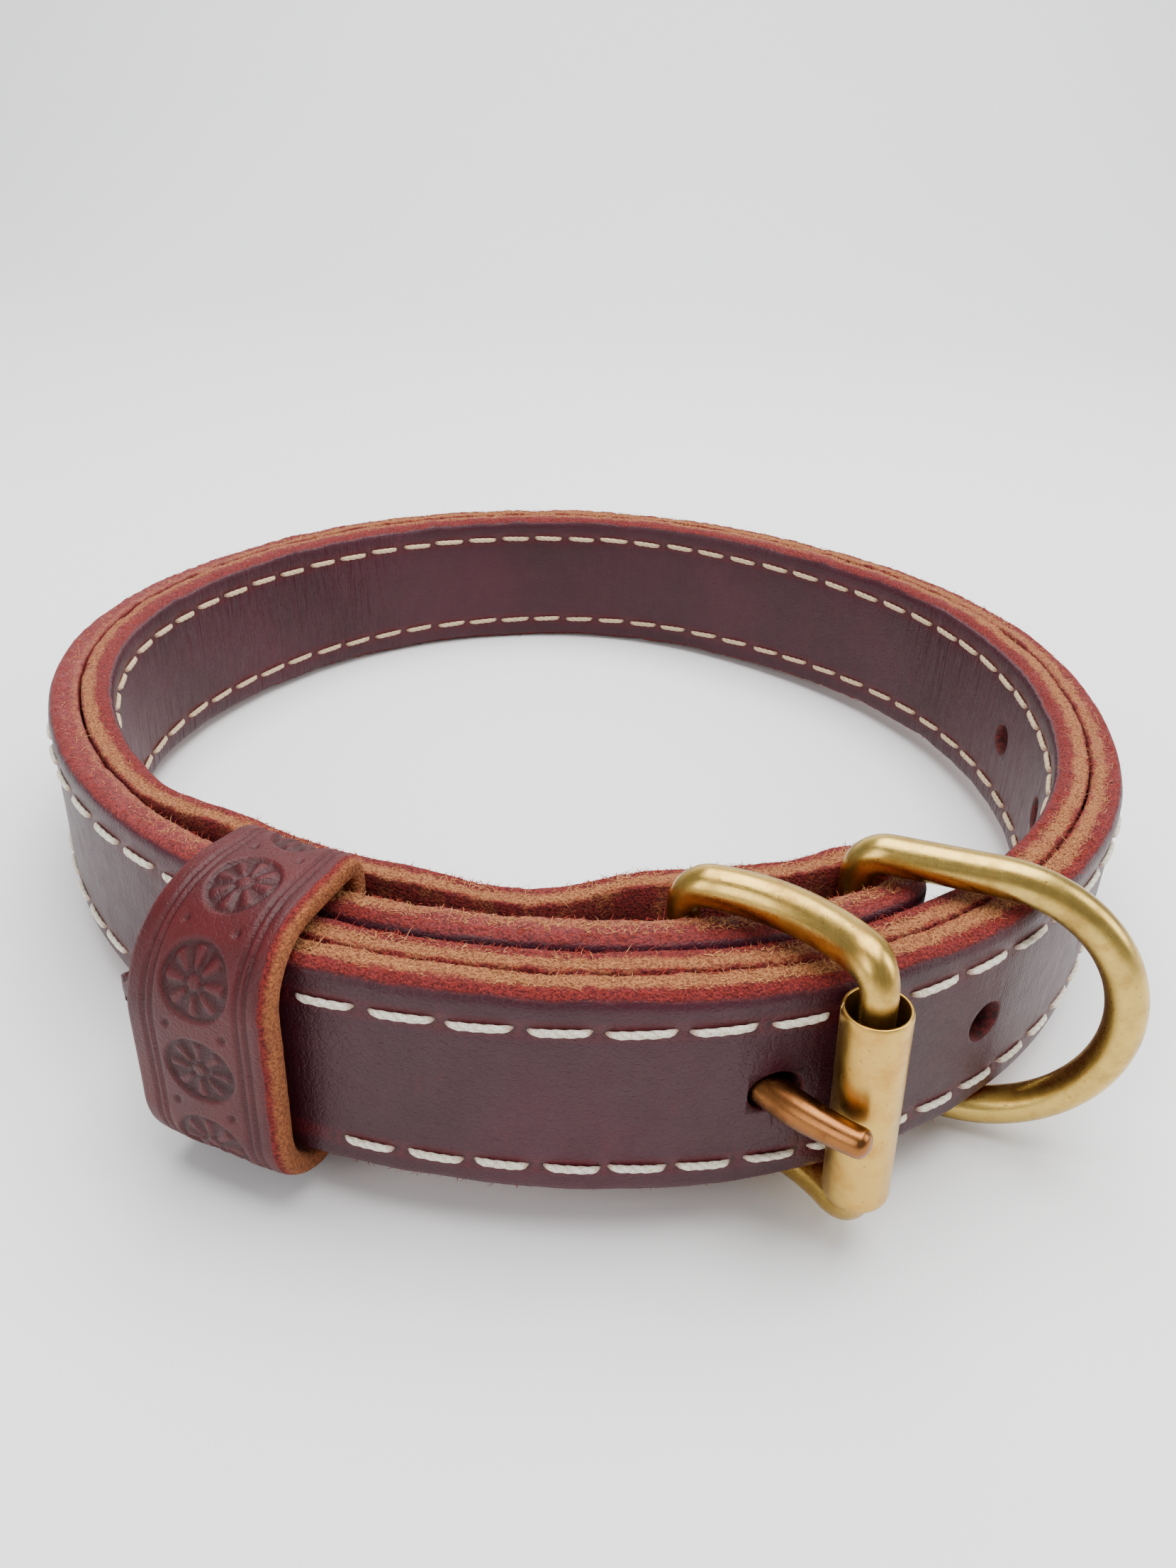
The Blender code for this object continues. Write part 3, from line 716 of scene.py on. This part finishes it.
def arc_place(run, rise):
    """Point on the buckle's arched sheet: run bends over the chord, rise is the bar.

    The arc's radius is (chord squared / 4 + arch squared) / (2 arch).
    """
    radius = (BUCKLE_CHORD ** 2 / 4 + LEG_ARCH ** 2) / (2 * LEG_ARCH)
    half = math.asin(BUCKLE_CHORD / 2 / radius)
    turn = half - run / radius
    x = BUCKLE_CHORD / 2 - radius * np.sin(turn)
    y = radius * (np.cos(turn) - math.cos(half))
    points = np.stack([x, y, rise], 1)
    across = np.stack([-np.sin(turn), np.cos(turn), 0 * turn], 1)
    return points, across


def closed_wire(name, points, across, radii, sides, axes, material):
    """Tube round a closed path, carried to its place."""
    tangent = tangents_of(points, True)
    beside = np.cross(tangent, across)
    across = np.cross(beside, tangent)
    across = across / np.linalg.norm(across, axis=1, keepdims=True)
    ring = tube(points, tangent, across, radii, sides)
    arc = np.cumsum(np.linalg.norm(points - np.roll(points, 1, 0), axis=1))
    values = {"run": np.repeat(arc, sides), "side": np.tile(np.arange(sides) / sides, len(arc))}
    faces = ring_faces(len(points), sides, closed=True)
    piece = make_piece(name, rest(carried(axes, ring.reshape(-1, 3))), faces, [material], values)
    return mend_normals(piece)


def spaced(rows, step):
    """Rows of numbers filled in at even steps along their first two columns."""
    rows = np.array(rows, float)
    length = np.concatenate([[0], np.cumsum(np.linalg.norm(np.diff(rows[:, :2], axis=0), axis=1))])
    even = np.linspace(0, length[-1], max(int(round(length[-1] / step)), 2) + 1)
    return np.stack([np.interp(even, length, rows[:, k]) for k in range(rows.shape[1])], 1)


def corner_rows(cx, cy, radius, start, end, size_a, size_b, cuts=14):
    """Quarter turn about a centre, with the wire's size changing smoothly."""
    share = np.linspace(0, 1, cuts)
    turn = np.radians(start + (end - start) * share)
    size = size_a + (size_b - size_a) * smooth(share)
    return np.stack([cx + radius * np.cos(turn), cy + radius * np.sin(turn), size], 1).tolist()


def build_buckle(material):
    """Closed loop of heel bar, leg, roller bar and leg, with four bent elbows."""
    height = BUCKLE_INSIDE / 2 + LEG / 2
    radius = (BUCKLE_CHORD ** 2 / 4 + LEG_ARCH ** 2) / (2 * LEG_ARCH)
    length = 2 * radius * math.asin(BUCKLE_CHORD / 2 / radius)
    rows = [(0.0, 0.0, HEEL_BAR), (0.0, height - 1.3 * ELBOW, HEEL_BAR)]
    rows += corner_rows(ELBOW, height - ELBOW, ELBOW, 180, 90, HEEL_BAR, LEG * 0.97)
    rows += [(length * 0.5, height, LEG * 1.02)]
    rows += corner_rows(length - ELBOW, height - ELBOW, ELBOW, 90, 0, LEG, ROLLER_BAR)
    rows += [(length, height - 1.3 * ELBOW, ROLLER_BAR), (length, 0.0, ROLLER_BAR)]
    upper = spaced(rows, 0.0005)
    lower = upper[-2:0:-1] * np.array([1, -1, 1])
    path = np.concatenate([upper, lower])
    points, across = arc_place(path[:, 0], path[:, 1])
    wave = 1 + 0.012 * lumps(np.arange(len(path)) / 9.0, 0 * path[:, 0], 41)
    return closed_wire("buckle_casting", points, across, path[:, 2] / 2 * wave, 36,
                       BUCKLE_AXES, material)


def build_roller(material):
    """Rolled sheet tube with a butt seam: an open C outline with rounded ends.

    The outline runs round at the outer radius and back at the inner one.
    """
    outer, inner = ROLLER_DIAMETER / 2, ROLLER_DIAMETER / 2 - ROLLER_WALL
    low = -BUCKLE_INSIDE / 2 + SEAT_GAP + ROLLER_RISE
    gap = math.radians(2.2)
    seam = math.radians(212)
    turn = np.linspace(gap, 2 * math.pi - gap, 96) + seam
    soft = np.array([0.0, 0.25, 0.6, 1.0])
    dip = 0.00012 * (1 - soft)
    high = low + ROLLER_LENGTH
    heights = np.concatenate([low + 0.0004 * soft, np.linspace(low + 0.001, high - 0.001, 24),
                              high - 0.0004 * soft[::-1]])
    inset = np.concatenate([dip, np.zeros(24), dip[::-1]])
    dent = 0.00010 * np.exp(-((turn[:, None] - seam - 2.6) / 0.30) ** 2
                            - ((heights[None, :] - low - 0.0102) / 0.0011) ** 2)
    edge = 0.00010 * sum(np.exp(-((turn - lip) / 0.05) ** 2) for lip in (turn[0], turn[-1]))
    out_r = outer - inset[None, :] - dent - edge[:, None]
    in_r = inner + inset[None, :] * 0.6 - dent + 0 * turn[:, None]
    loops = np.concatenate([out_r, in_r[::-1]])
    turns = np.concatenate([turn, turn[::-1]])
    points = np.stack([loops * np.cos(turns)[:, None] + BUCKLE_CHORD,
                       loops * np.sin(turns)[:, None],
                       np.broadcast_to(heights, loops.shape)], -1)
    rounds, tall = loops.shape
    r = np.arange(rounds)[:, None]
    k = np.arange(tall - 1)[None, :]
    a, b = r * tall + k, ((r + 1) % rounds) * tall + k
    faces = np.stack([a, b, b + 1, a + 1], -1).reshape(-1, 4).tolist()
    half = rounds // 2
    for k in (0, tall - 1):
        for i in range(half - 1):
            j = rounds - 1 - i
            faces.append([i * tall + k, (i + 1) * tall + k, (j - 1) * tall + k, j * tall + k])
    values = {"run": np.broadcast_to(heights, loops.shape),
              "side": np.broadcast_to((turns / (2 * math.pi))[:, None], loops.shape)}
    piece = make_piece("roller_tube", rest(carried(BUCKLE_AXES, points.reshape(-1, 3))),
                       faces, [material], values)
    return mend_normals(piece)


def bezier(points, t):
    a, b, c, d = points
    u = 1 - t
    return a * u ** 3 + b * 3 * u * u * t + c * 3 * u * t * t + d * t ** 3


def prong_rows(cuts):
    """Middle line of the prong in the buckle's frame, with half width and height.

    An eye of nearly a turn about the heel bar, then a cubic curve to the roller.
    """
    head = math.radians(BUCKLE_HEADING)

    def from_plan(x, y):
        return np.array([x * math.cos(head) - y * math.sin(head),
                         x * math.sin(head) + y * math.cos(head)])

    eye = HEEL_BAR / 2 + SEAT_GAP + PRONG_STRIP / 2
    turn = np.radians(np.linspace(250, 0, 30)) + head
    ring = np.stack([np.cos(turn), np.sin(turn)], 1) * eye
    seat = math.radians(PRONG_SEAT_ANGLE)
    away = from_plan(-math.sin(seat), -math.cos(seat))
    along = from_plan(math.cos(seat), -math.sin(seat))
    contact = np.array([BUCKLE_CHORD, 0.0]) + away * (ROLLER_DIAMETER / 2 + SEAT_GAP + PRONG / 2)
    tip = contact + along * PRONG_OVERHANG
    reach = np.linalg.norm(tip - ring[-1])
    lead = 0.30 * reach
    bend = (ring[-1], ring[-1] + from_plan(0, -1) * lead, contact - along * lead, tip)
    t = np.linspace(0, 1, cuts)[1:, None]
    curve = bezier(bend, t)
    t = t[:, 0]
    grow, thin = smooth(t / 0.30), smooth((t - 0.70) / 0.30)
    fall = (PRONG_TIP / 2 - PRONG / 2) * thin
    wide = PRONG_STRIP / 2 + (PRONG / 2 - PRONG_STRIP / 2) * grow + fall
    tall = PRONG_EYE_HEIGHT / 2 + (PRONG / 2 - PRONG_EYE_HEIGHT / 2) * grow + fall
    end = np.array([0.25, 0.45, 0.60, 0.66])[:, None] * PRONG_TIP / 2
    round_end = np.sqrt(1 - (end[:, 0] / (0.68 * PRONG_TIP / 2)) ** 2)
    line = np.concatenate([ring, curve, tip + along * end])
    wide = np.concatenate([np.full(30, PRONG_STRIP / 2), wide, wide[-1] * round_end])
    tall = np.concatenate([np.full(30, PRONG_EYE_HEIGHT / 2), tall, tall[-1] * round_end])
    return np.concatenate([line, np.zeros((len(line), 1))], 1), wide, tall


def prong_shell(grow, first, cuts=40, sides=28):
    """Oval rings along the prong's line, wider by grow, from its first row on."""
    line, wide, tall = prong_rows(cuts)
    tangent = tangents_of(line, False)
    side = np.cross(tangent, [0.0, 0.0, 1.0])
    turn = np.linspace(0, 2 * math.pi, sides, endpoint=False)
    ring = (line[:, None, :] + side[:, None, :] * ((wide + grow)[:, None] * np.cos(turn))[..., None]
            + np.array([0, 0, 1.0]) * ((tall + grow)[:, None] * np.sin(turn))[..., None])
    ring = ring[first:]
    return carried(BUCKLE_AXES, ring.reshape(-1, 3)), ring_faces(len(ring), sides)


def build_prong(material):
    points, faces = prong_shell(0.0, 0)
    run = np.repeat(np.arange(len(points) // 28) * 0.0004, 28)
    side = np.tile(np.arange(28) / 28, len(points) // 28)
    piece = make_piece("prong_tongue", rest(points), faces, [material], {"run": run, "side": side})
    return mend_normals(piece)


def build_d_ring(material):
    """Straight bar, two legs and a half-circle bow, in the ring's own XZ plane."""
    half = D_WIDTH / 2
    rows = [(0.0, 0.0, D_BAR), (0.0, half - 1.3 * ELBOW, D_BAR)]
    rows += corner_rows(ELBOW, half - ELBOW, ELBOW, 180, 90, D_BAR, D_WIRE)
    turn = np.radians(np.linspace(90, 0, 60))
    bow = np.stack([D_LEG + half * np.cos(turn), half * np.sin(turn), 0 * turn + D_WIRE], 1)
    upper = spaced(rows + bow.tolist(), 0.0005)
    lower = upper[-2:0:-1] * np.array([1, -1, 1])
    path = np.concatenate([upper, lower])
    points = np.stack([path[:, 0], 0 * path[:, 0], path[:, 1]], 1)
    across = np.broadcast_to([0.0, 1.0, 0.0], points.shape)
    return closed_wire("dee_ring", points, across, path[:, 2] / 2, 36, D_AXES, material)


# ---- shader helpers


class Value:
    """A number over the surface. Its sums and products are Math nodes."""

    def __init__(self, tree, socket):
        self.tree, self.socket = tree, socket

    def __add__(self, other):
        return calc(self.tree, "ADD", self, other)

    def __sub__(self, other):
        return calc(self.tree, "SUBTRACT", self, other)

    def __rsub__(self, other):
        return calc(self.tree, "SUBTRACT", other, self)

    def __mul__(self, other):
        return calc(self.tree, "MULTIPLY", self, other)

    __radd__, __rmul__ = __add__, __mul__

    def step(self, low, high, out_low=0.0, out_high=1.0):
        """Smooth step of the value between two limits."""
        made = self.tree.nodes.new("ShaderNodeMapRange")
        made.interpolation_type = "SMOOTHSTEP"
        for key, number in zip(("Value", "From Min", "From Max", "To Min", "To Max"),
                               (self, low, high, out_low, out_high)):
            plug(self.tree, made.inputs[key], number)
        return Value(self.tree, made.outputs[0])

    def blend(self, a, b):
        """Colour a where the value is 0, and b where it is 1."""
        made = self.tree.nodes.new("ShaderNodeMix")
        made.data_type = "RGBA"
        for key, colour in (("Factor", self), ("A", a), ("B", b)):
            plug(self.tree, made.inputs[key], colour)
        return made.outputs["Result"]


def plug(tree, socket, value):
    """Links a socket, or sets a plain value."""
    if isinstance(value, Value):
        value = value.socket
    if isinstance(value, bpy.types.NodeSocket):
        tree.links.new(value, socket)
    else:
        socket.default_value = value


def calc(tree, operation, *values, clamp=False):
    made = tree.nodes.new("ShaderNodeMath")
    made.operation = operation
    made.use_clamp = clamp
    for socket, value in zip(made.inputs, values):
        plug(tree, socket, value)
    return Value(tree, made.outputs[0])


def noise(tree, where, scale, detail=2.0, rough=0.5, stretch=None):
    """Noise value between 0 and 1 at a place, which may be stretched first."""
    if stretch:
        mapping = tree.nodes.new("ShaderNodeMapping")
        mapping.inputs["Scale"].default_value = stretch
        tree.links.new(where, mapping.inputs["Vector"])
        where = mapping.outputs["Vector"]
    made = tree.nodes.new("ShaderNodeTexNoise")
    tree.links.new(where, made.inputs["Vector"])
    plug(tree, made.inputs["Scale"], scale)
    made.inputs["Detail"].default_value = detail
    made.inputs["Roughness"].default_value = rough
    return Value(tree, made.outputs["Fac"])


def cells(tree, where, scale, feature="F1"):
    """Distance to the nearest cell's centre, or to its edge."""
    made = tree.nodes.new("ShaderNodeTexVoronoi")
    made.feature = feature
    tree.links.new(where, made.inputs["Vector"])
    plug(tree, made.inputs["Scale"], scale)
    return Value(tree, made.outputs["Distance"])


def read_values(tree, *names):
    """The mesh's own values by name."""
    found = []
    for name in names:
        made = tree.nodes.new("ShaderNodeAttribute")
        made.attribute_name = name
        found.append(Value(tree, made.outputs["Fac"]))
    return found


def joined(tree, x, y):
    made = tree.nodes.new("ShaderNodeCombineXYZ")
    plug(tree, made.inputs["X"], x)
    plug(tree, made.inputs["Y"], y)
    return made.outputs[0]


def rgb(r, g, b):
    """Linear colour from values that a screen shows, 0 to 255."""
    return tuple((c / 255) ** 2.2 for c in (r, g, b)) + (1.0,)


def start_group(name, *numbers):
    """New group with a place and the named numbers as inputs."""
    tree = bpy.data.node_groups.new(name, "ShaderNodeTree")
    tree.interface.new_socket("Place", in_out="INPUT", socket_type="NodeSocketVector")
    for key in numbers:
        tree.interface.new_socket(key, in_out="INPUT", socket_type="NodeSocketFloat")
    inside = tree.nodes.new("NodeGroupInput").outputs
    return tree, inside["Place"], *(Value(tree, inside[key]) for key in numbers)


def end_group(tree, **values):
    """Gives each value an output socket of its name."""
    outside = tree.nodes.new("NodeGroupOutput")
    for key, value in values.items():
        tree.interface.new_socket(key, in_out="OUTPUT", socket_type="NodeSocketFloat")
        plug(tree, outside.inputs[key], value)
    return tree


def use_group(tree, group, **values):
    """Places a group, and returns its outputs by name."""
    made = tree.nodes.new("ShaderNodeGroup")
    made.node_tree = group
    for key, value in values.items():
        plug(tree, made.inputs[key], value)
    return {socket.name: Value(tree, socket) for socket in made.outputs}


def start_material(name):
    """New material with its nodes and the object's own coordinates."""
    made = bpy.data.materials.new(name)
    made.use_nodes = True
    tree = made.node_tree
    return made, tree, tree.nodes.new("ShaderNodeTexCoord").outputs["Object"]


def close_material(tree, colour, roughness, height, bump, **plain):
    """Joins sockets to the Principled shader; plain values are set on it."""
    shader = tree.nodes["Principled BSDF"]
    for key, value in plain.items():
        shader.inputs[key.replace("_", " ")].default_value = value
    relief = tree.nodes.new("ShaderNodeBump")
    relief.inputs["Strength"].default_value = bump
    relief.inputs["Distance"].default_value = 0.001
    plug(tree, shader.inputs["Base Color"], colour)
    plug(tree, shader.inputs["Roughness"], roughness)
    plug(tree, relief.inputs["Height"], height)
    tree.links.new(relief.outputs["Normal"], shader.inputs["Normal"])


# ---- shared effects


def grain_group():
    """Fine leather grain: pores from small cells and creases from larger ones."""
    tree, where, scale = start_group("leather grain", "Scale")
    fine = cells(tree, where, scale)
    fold = cells(tree, where, scale * 0.35, "DISTANCE_TO_EDGE").step(0.0, 0.12)
    pores = cells(tree, where, scale * 0.55).step(0.0, 0.28, 1.0, 0.0)
    soft = noise(tree, where, scale * 0.12, 4.0, 0.6)
    height = fine * 0.35 + fold * 0.30 + soft * 0.8 - pores * 0.5
    return end_group(tree, Height=height, Pores=pores, Mottle=soft)


def fibre_group():
    """Raw cut leather: short tangled fibres as noise, with knots and clumps."""
    tree, where, scale = start_group("raw fibres", "Scale")
    fine = noise(tree, where, scale, 3.0, 0.65)
    knots = cells(tree, where, scale * 0.8)
    clumps = noise(tree, where, scale * 0.14, 3.0, 0.55)
    height = fine + knots * -0.6 + clumps * 0.8
    return end_group(tree, Height=height, Speckle=fine, Clumps=clumps)


def brass_group():
    """Handled brass: a tarnish mask, fine scratches and small pits."""
    tree, where, run, side = start_group("handled brass", "Run", "Side")
    tarnish = noise(tree, where, 260.0, 6.0, 0.68).step(0.42, 0.72)
    lines = noise(tree, joined(tree, run * 300.0, side * 60.0), 1.6, 3.0, 0.7)
    cross = noise(tree, where, 900.0, 4.0, 0.7, (1.0, 0.25, 0.6))
    pits = cells(tree, where, 620.0).step(0.0, 0.16, 1.0, 0.0)
    return end_group(tree, Tarnish=tarnish, Scratches=lines * 0.6 + cross * 0.6, Pits=pits)


GRAIN, FIBRES, BRASS = grain_group(), fibre_group(), brass_group()

PLUM_DARK = rgb(48, 10, 22)
PLUM = rgb(66, 18, 34)
PLUM_RED = rgb(98, 20, 28)
PORE_DARK = rgb(24, 8, 12)
PIT_SHADE = rgb(34, 5, 9)
EDGE_RED = rgb(128, 42, 38)
EDGE_DEEP = rgb(74, 18, 20)
TAN = rgb(166, 108, 66)
TAN_DARK = rgb(108, 60, 38)
SUEDE = rgb(152, 92, 56)


def strap_leather():
    """Plum grain face, red rolled shoulder, tan core and red flesh side.

    The bands follow the depth through the ply, moved by noise.
    """
    made, tree, where = start_material("strap leather dressed")
    depth, row, burnish, creases, along, up, pit = read_values(
        tree, "depth", "row", "burnish", "creases", "along", "up", "pit")
    grain = use_group(tree, GRAIN, Place=where, Scale=3200.0)
    fibre = use_group(tree, FIBRES, Place=where, Scale=3400.0)
    # grain face, redder at the stitch rows and in scuffs, with painted shade in the stitch pits
    face = noise(tree, where, 42.0, 5.0, 0.60).step(0.20, 0.85).blend(PLUM_DARK, PLUM)
    face = (grain["Pores"] * 0.45).blend(face, PORE_DARK)
    near_row = calc(tree, "ABSOLUTE", row).step(0.0004, 0.0016, 1.0, 0.0)
    scuff = noise(tree, where, 520.0, 5.0, 0.7, (1.0, 1.0, 0.35)).step(0.60, 0.80)
    face = (near_row * 0.40).blend(face, PLUM_RED)
    face = (scuff * 0.30).blend(face, PLUM_RED)
    # painted shade: the stitch pits darkened where the thread goes into the leather
    face = (pit * 0.85).blend(face, PIT_SHADE)
    # raw edge
    streak = noise(tree, joined(tree, along * 260.0, depth * 5.0), 1.0, 3.0, 0.6)
    shift = (fibre["Clumps"] - 0.5) * 0.34 + (streak - 0.5) * 0.30
    band = depth + shift
    tan = fibre["Speckle"].step(0.38, 0.62).blend(TAN_DARK, TAN)
    red = fibre["Speckle"].step(0.36, 0.64).blend(EDGE_DEEP, EDGE_RED)
    limit = 0.38 + burnish * 0.30
    core = calc(tree, "SUBTRACT", band.step(limit, limit + 0.22), band.step(0.86, 1.02), clamp=True)
    edge = (core * (1.0 - burnish * 0.55)).blend(red, tan)
    on_edge = (depth + shift * 0.25).step(0.05, 0.16)
    rough = on_edge.step(0.0, 1.0, 0.46, 0.92)
    rough = rough + (grain["Mottle"] - 0.5) * 0.22 - burnish * on_edge * 0.30
    wrinkle = noise(tree, joined(tree, along * 620.0, up * 55.0), 1.0, 4.0, 0.6)
    face_height = grain["Height"] * 0.13 + wrinkle * creases * 2.2
    edge_height = fibre["Height"] * 0.85 * (1.0 - burnish * 0.75)
    height = face_height * (1.0 - on_edge) + edge_height * on_edge
    close_material(tree, on_edge.blend(face, edge), rough, height, 0.6, Specular_IOR_Level=0.36)
    return made


def keeper_leather():
    """Redder grain outside, darker in the tooling, and tan suede inside."""
    made, tree, where = start_material("keeper leather dressed")
    depth, tooled = read_values(tree, "depth", "tooled")
    grain = use_group(tree, GRAIN, Place=where, Scale=3000.0)
    fibre = use_group(tree, FIBRES, Place=where, Scale=3400.0)
    face = noise(tree, where, 110.0, 5.0, 0.6).step(0.25, 0.78).blend(
        rgb(60, 12, 17), rgb(82, 20, 24))
    face = (grain["Pores"] * 0.40).blend(face, rgb(36, 10, 13))
    face = (tooled.step(0.15, 0.9) * 0.65).blend(face, rgb(40, 10, 13))
    clump = fibre["Clumps"] - 0.5
    speckle = fibre["Speckle"].step(0.36, 0.64)
    edge = (depth + clump * 0.16).step(0.07, 0.22).blend(
        speckle.blend(EDGE_DEEP, EDGE_RED), speckle.blend(TAN_DARK, SUEDE))
    on_edge = (depth + clump * 0.05).step(0.03, 0.07)
    rough = on_edge.step(0.0, 1.0, 0.50, 0.95)
    height = grain["Height"] * ((1.0 - on_edge) * 0.12) + fibre["Height"] * 0.50 * on_edge
    close_material(tree, on_edge.blend(face, edge), rough, height, 0.6, Specular_IOR_Level=0.30)
    return made


def fibre_leather():
    """Loose fibres, red near the two faces of a ply and tan between them."""
    made, tree, where = start_material("loose fibres")
    tone, = read_values(tree, "tone")
    tone = tone + (noise(tree, where, 900.0) - 0.5) * 0.5
    colour = tone.step(0.2, 0.7).blend(rgb(150, 56, 46), rgb(196, 140, 92))
    close_material(tree, colour, 0.9, 0.0, 0.0, Specular_IOR_Level=0.2)
    return made


def hole_leather():
    """Punched walls: dark red, matt and fibrous."""
    made, tree, where = start_material("punched leather")
    fibre = use_group(tree, FIBRES, Place=where, Scale=1600.0)
    colour = fibre["Speckle"].step(0.35, 0.65).blend(rgb(44, 8, 10), rgb(92, 26, 24))
    close_material(tree, colour, 0.85, fibre["Height"] * 0.35, 0.6)
    return made


def thread_material(name, light, dark):
    """Waxed thread: pale, with fine lines of its strands, painted shade in the grooves between its
    twisted strands, and ends darker and redder where they dip into the pits.
    """
    made, tree, where = start_material(name)
    end, lay = read_values(tree, "end", "lay")
    strands = noise(tree, where, 3800.0, 3.0, 0.6)
    colour = strands.step(0.25, 0.60).blend(dark, light)
    # painted shade in the grooves between the two twisted strands
    colour = lay.step(-1.0, -0.2, 0.6, 0.0).blend(colour, dark)
    # ends darker and redder where they dip into the pits
    colour = end.step(0.72, 1.0, 0.0, 0.75).blend(colour, rgb(150, 96, 80))
    close_material(tree, colour, 0.75, strands * 0.25, 0.5)
    return made


def brass_material(name, bright, deep, shine):
    """Metal with tarnish, scratches along the run, and pits."""
    made, tree, where = start_material(name)
    run, side = read_values(tree, "run", "side")
    marks = use_group(tree, BRASS, Place=where, Run=run, Side=side)
    tarnish, scratches, pits = marks["Tarnish"], marks["Scratches"], marks["Pits"]
    colour = (tarnish * 0.55).blend(rgb(*bright), rgb(*deep))
    colour = (pits * 0.45).blend(colour, rgb(110, 66, 26))
    rough = shine + tarnish * 0.12 + scratches.step(0.5, 0.8) * 0.10
    close_material(tree, colour, rough, scratches * 0.045 - pits * 0.03, 0.35, Metallic=1.0)
    return made


# ---- dressing the collar

leather = strap_leather()
punched = hole_leather()
outer_ply = build_ply("outer_ply", 1, [leather, punched], 0.0006)
inner_ply = build_ply("inner_ply", -1, [leather, punched], 0.0006)
holes = [hole_shell(place, 0.0004 if k == 0 else 0.0) for k, place in enumerate(HOLE_PLACES)]
way = prong_shell(0.0005, 32)
cut_holes(outer_ply, [holes, [slot_shell()], [way]], punched)
cut_holes(inner_ply, [holes, [way]], punched)

outer_thread = thread_material("outer thread", rgb(232, 226, 208), rgb(176, 160, 132))
inner_thread = thread_material("inner thread", rgb(206, 184, 148), rgb(150, 122, 92))
outer_stitches = build_stitches(
    "outer_stitches", 1, TIP_LENGTH, length_at(TURN - 22), outer_thread)
inner_stitches = build_stitches(
    "inner_stitches", -1, length_at(38), STRIP_LENGTH - 0.004, inner_thread)

fuzz = fibre_leather()
outer_fibres = build_fibres("outer_fibres", 1, 15000, fuzz)
inner_fibres = build_fibres("inner_fibres", -1, 15000, fuzz)

keeper = build_keeper([keeper_leather()])
buckle = build_buckle(brass_material("buckle brass dressed", (196, 160, 84), (132, 92, 40), 0.24))
roller = build_roller(brass_material("roller brass dressed", (196, 158, 82), (172, 112, 40), 0.27))
prong = build_prong(brass_material("prong brass dressed", (134, 88, 52), (76, 44, 26), 0.24))
ring = build_d_ring(brass_material("ring brass dressed", (192, 160, 86), (128, 92, 42), 0.25))

for piece in (outer_ply, inner_ply, outer_stitches, inner_stitches,
              outer_fibres, inner_fibres, keeper, buckle, prong):
    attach(piece, "collar")
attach(roller, "roller")
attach(ring, "ring")
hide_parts("strap")
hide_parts("keeper")
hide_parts("buckle_frame")
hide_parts("buckle_roller")
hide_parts("buckle_prong")
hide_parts("d_ring")


# ---- floor, light and camera

FLOOR = 1.6


def build_floor():
    """Sheet that lies flat, then curves up behind: a quarter circle, then a wall."""
    bend, wall = 0.30, 0.9
    turn = np.linspace(0, math.pi / 2, 24)
    path = [(-FLOOR, 0.0), (0.45, 0.0)]
    path += [(0.45 + bend * math.sin(t), bend * (1 - math.cos(t))) for t in turn[1:]]
    path += [(0.45 + bend, wall)]
    points = [(x, y, z) for y, z in path for x in (-FLOOR, FLOOR)]
    faces = [(2 * i, 2 * i + 1, 2 * i + 3, 2 * i + 2) for i in range(len(path) - 1)]
    made, tree, where = start_material("pale paper")
    colour = noise(tree, where, 6.0).blend(rgb(238, 238, 237), rgb(243, 243, 242))
    close_material(tree, colour, 0.7, 0.0, 0.0)
    return make_piece("floor", points, faces, [made])


build_floor()


def area_light(name, place, aim, size, power, colour=(1, 1, 1)):
    made = bpy.data.lights.new(name, "AREA")
    made.shape = "RECTANGLE"
    made.size, made.size_y = size
    made.energy = power
    made.color = colour
    lamp = bpy.data.objects.new(name, made)
    lamp.location = place
    lamp.rotation_euler = (Vector(aim) - Vector(place)).to_track_quat("-Z", "Y").to_euler()
    bpy.context.scene.collection.objects.link(lamp)
    return lamp


area_light("overhead softbox", (0.05, 0.10, 0.75), (0, 0, 0), (0.75, 0.75), 14.5)
area_light("front left softbox", (-0.55, -0.55, 0.40), (0, 0, 0.02), (0.40, 0.50), 3.0)
area_light("right softbox", (0.70, -0.10, 0.40), (0, 0, 0.02), (0.35, 0.55), 3.4)

world = bpy.data.worlds.new("studio")
bpy.context.scene.world = world
world.use_nodes = True
world.node_tree.nodes["Background"].inputs["Color"].default_value = (0.90, 0.94, 1.0, 1)
world.node_tree.nodes["Background"].inputs["Strength"].default_value = 0.42

# Camera: place in the upright collar's frame, pitch down and roll, fitted to the photo
CAMERA_PLACE = np.array([0.0025, -0.16712, 0.09555])
CAMERA_PITCH = 28.83
CAMERA_ROLL = 2.48
CAMERA_FOCAL = 1662.0
IMAGE_HEIGHT = 2212.0


def build_camera():
    """Camera axes from pitch and roll, turned with the collar onto the floor."""
    pitch, roll = math.radians(CAMERA_PITCH), math.radians(CAMERA_ROLL)
    ahead = np.array([0, math.cos(pitch), -math.sin(pitch)])
    side = np.array([1.0, 0, 0])
    up = np.array([0, math.sin(pitch), math.cos(pitch)])
    right = math.cos(roll) * side + math.sin(roll) * up
    top = -math.sin(roll) * side + math.cos(roll) * up
    axes = REST_TURN[:, :3] @ np.stack([right, top, -ahead], 1)
    place = rest(CAMERA_PLACE[None, :])[0]
    made = bpy.data.cameras.new("camera")
    made.sensor_fit = "AUTO"
    made.sensor_width = 36.0
    made.lens = CAMERA_FOCAL / IMAGE_HEIGHT * 36.0
    made.clip_start = 0.005
    camera = bpy.data.objects.new("camera", made)
    matrix = Matrix.Identity(4)
    for row in range(3):
        for column in range(3):
            matrix[row][column] = axes[row, column]
        matrix[row][3] = place[row]
    camera.matrix_world = matrix
    bpy.context.scene.collection.objects.link(camera)
    bpy.context.scene.camera = camera


build_camera()


def plain(box):
    return [[float(c) for c in corner] for corner in box]
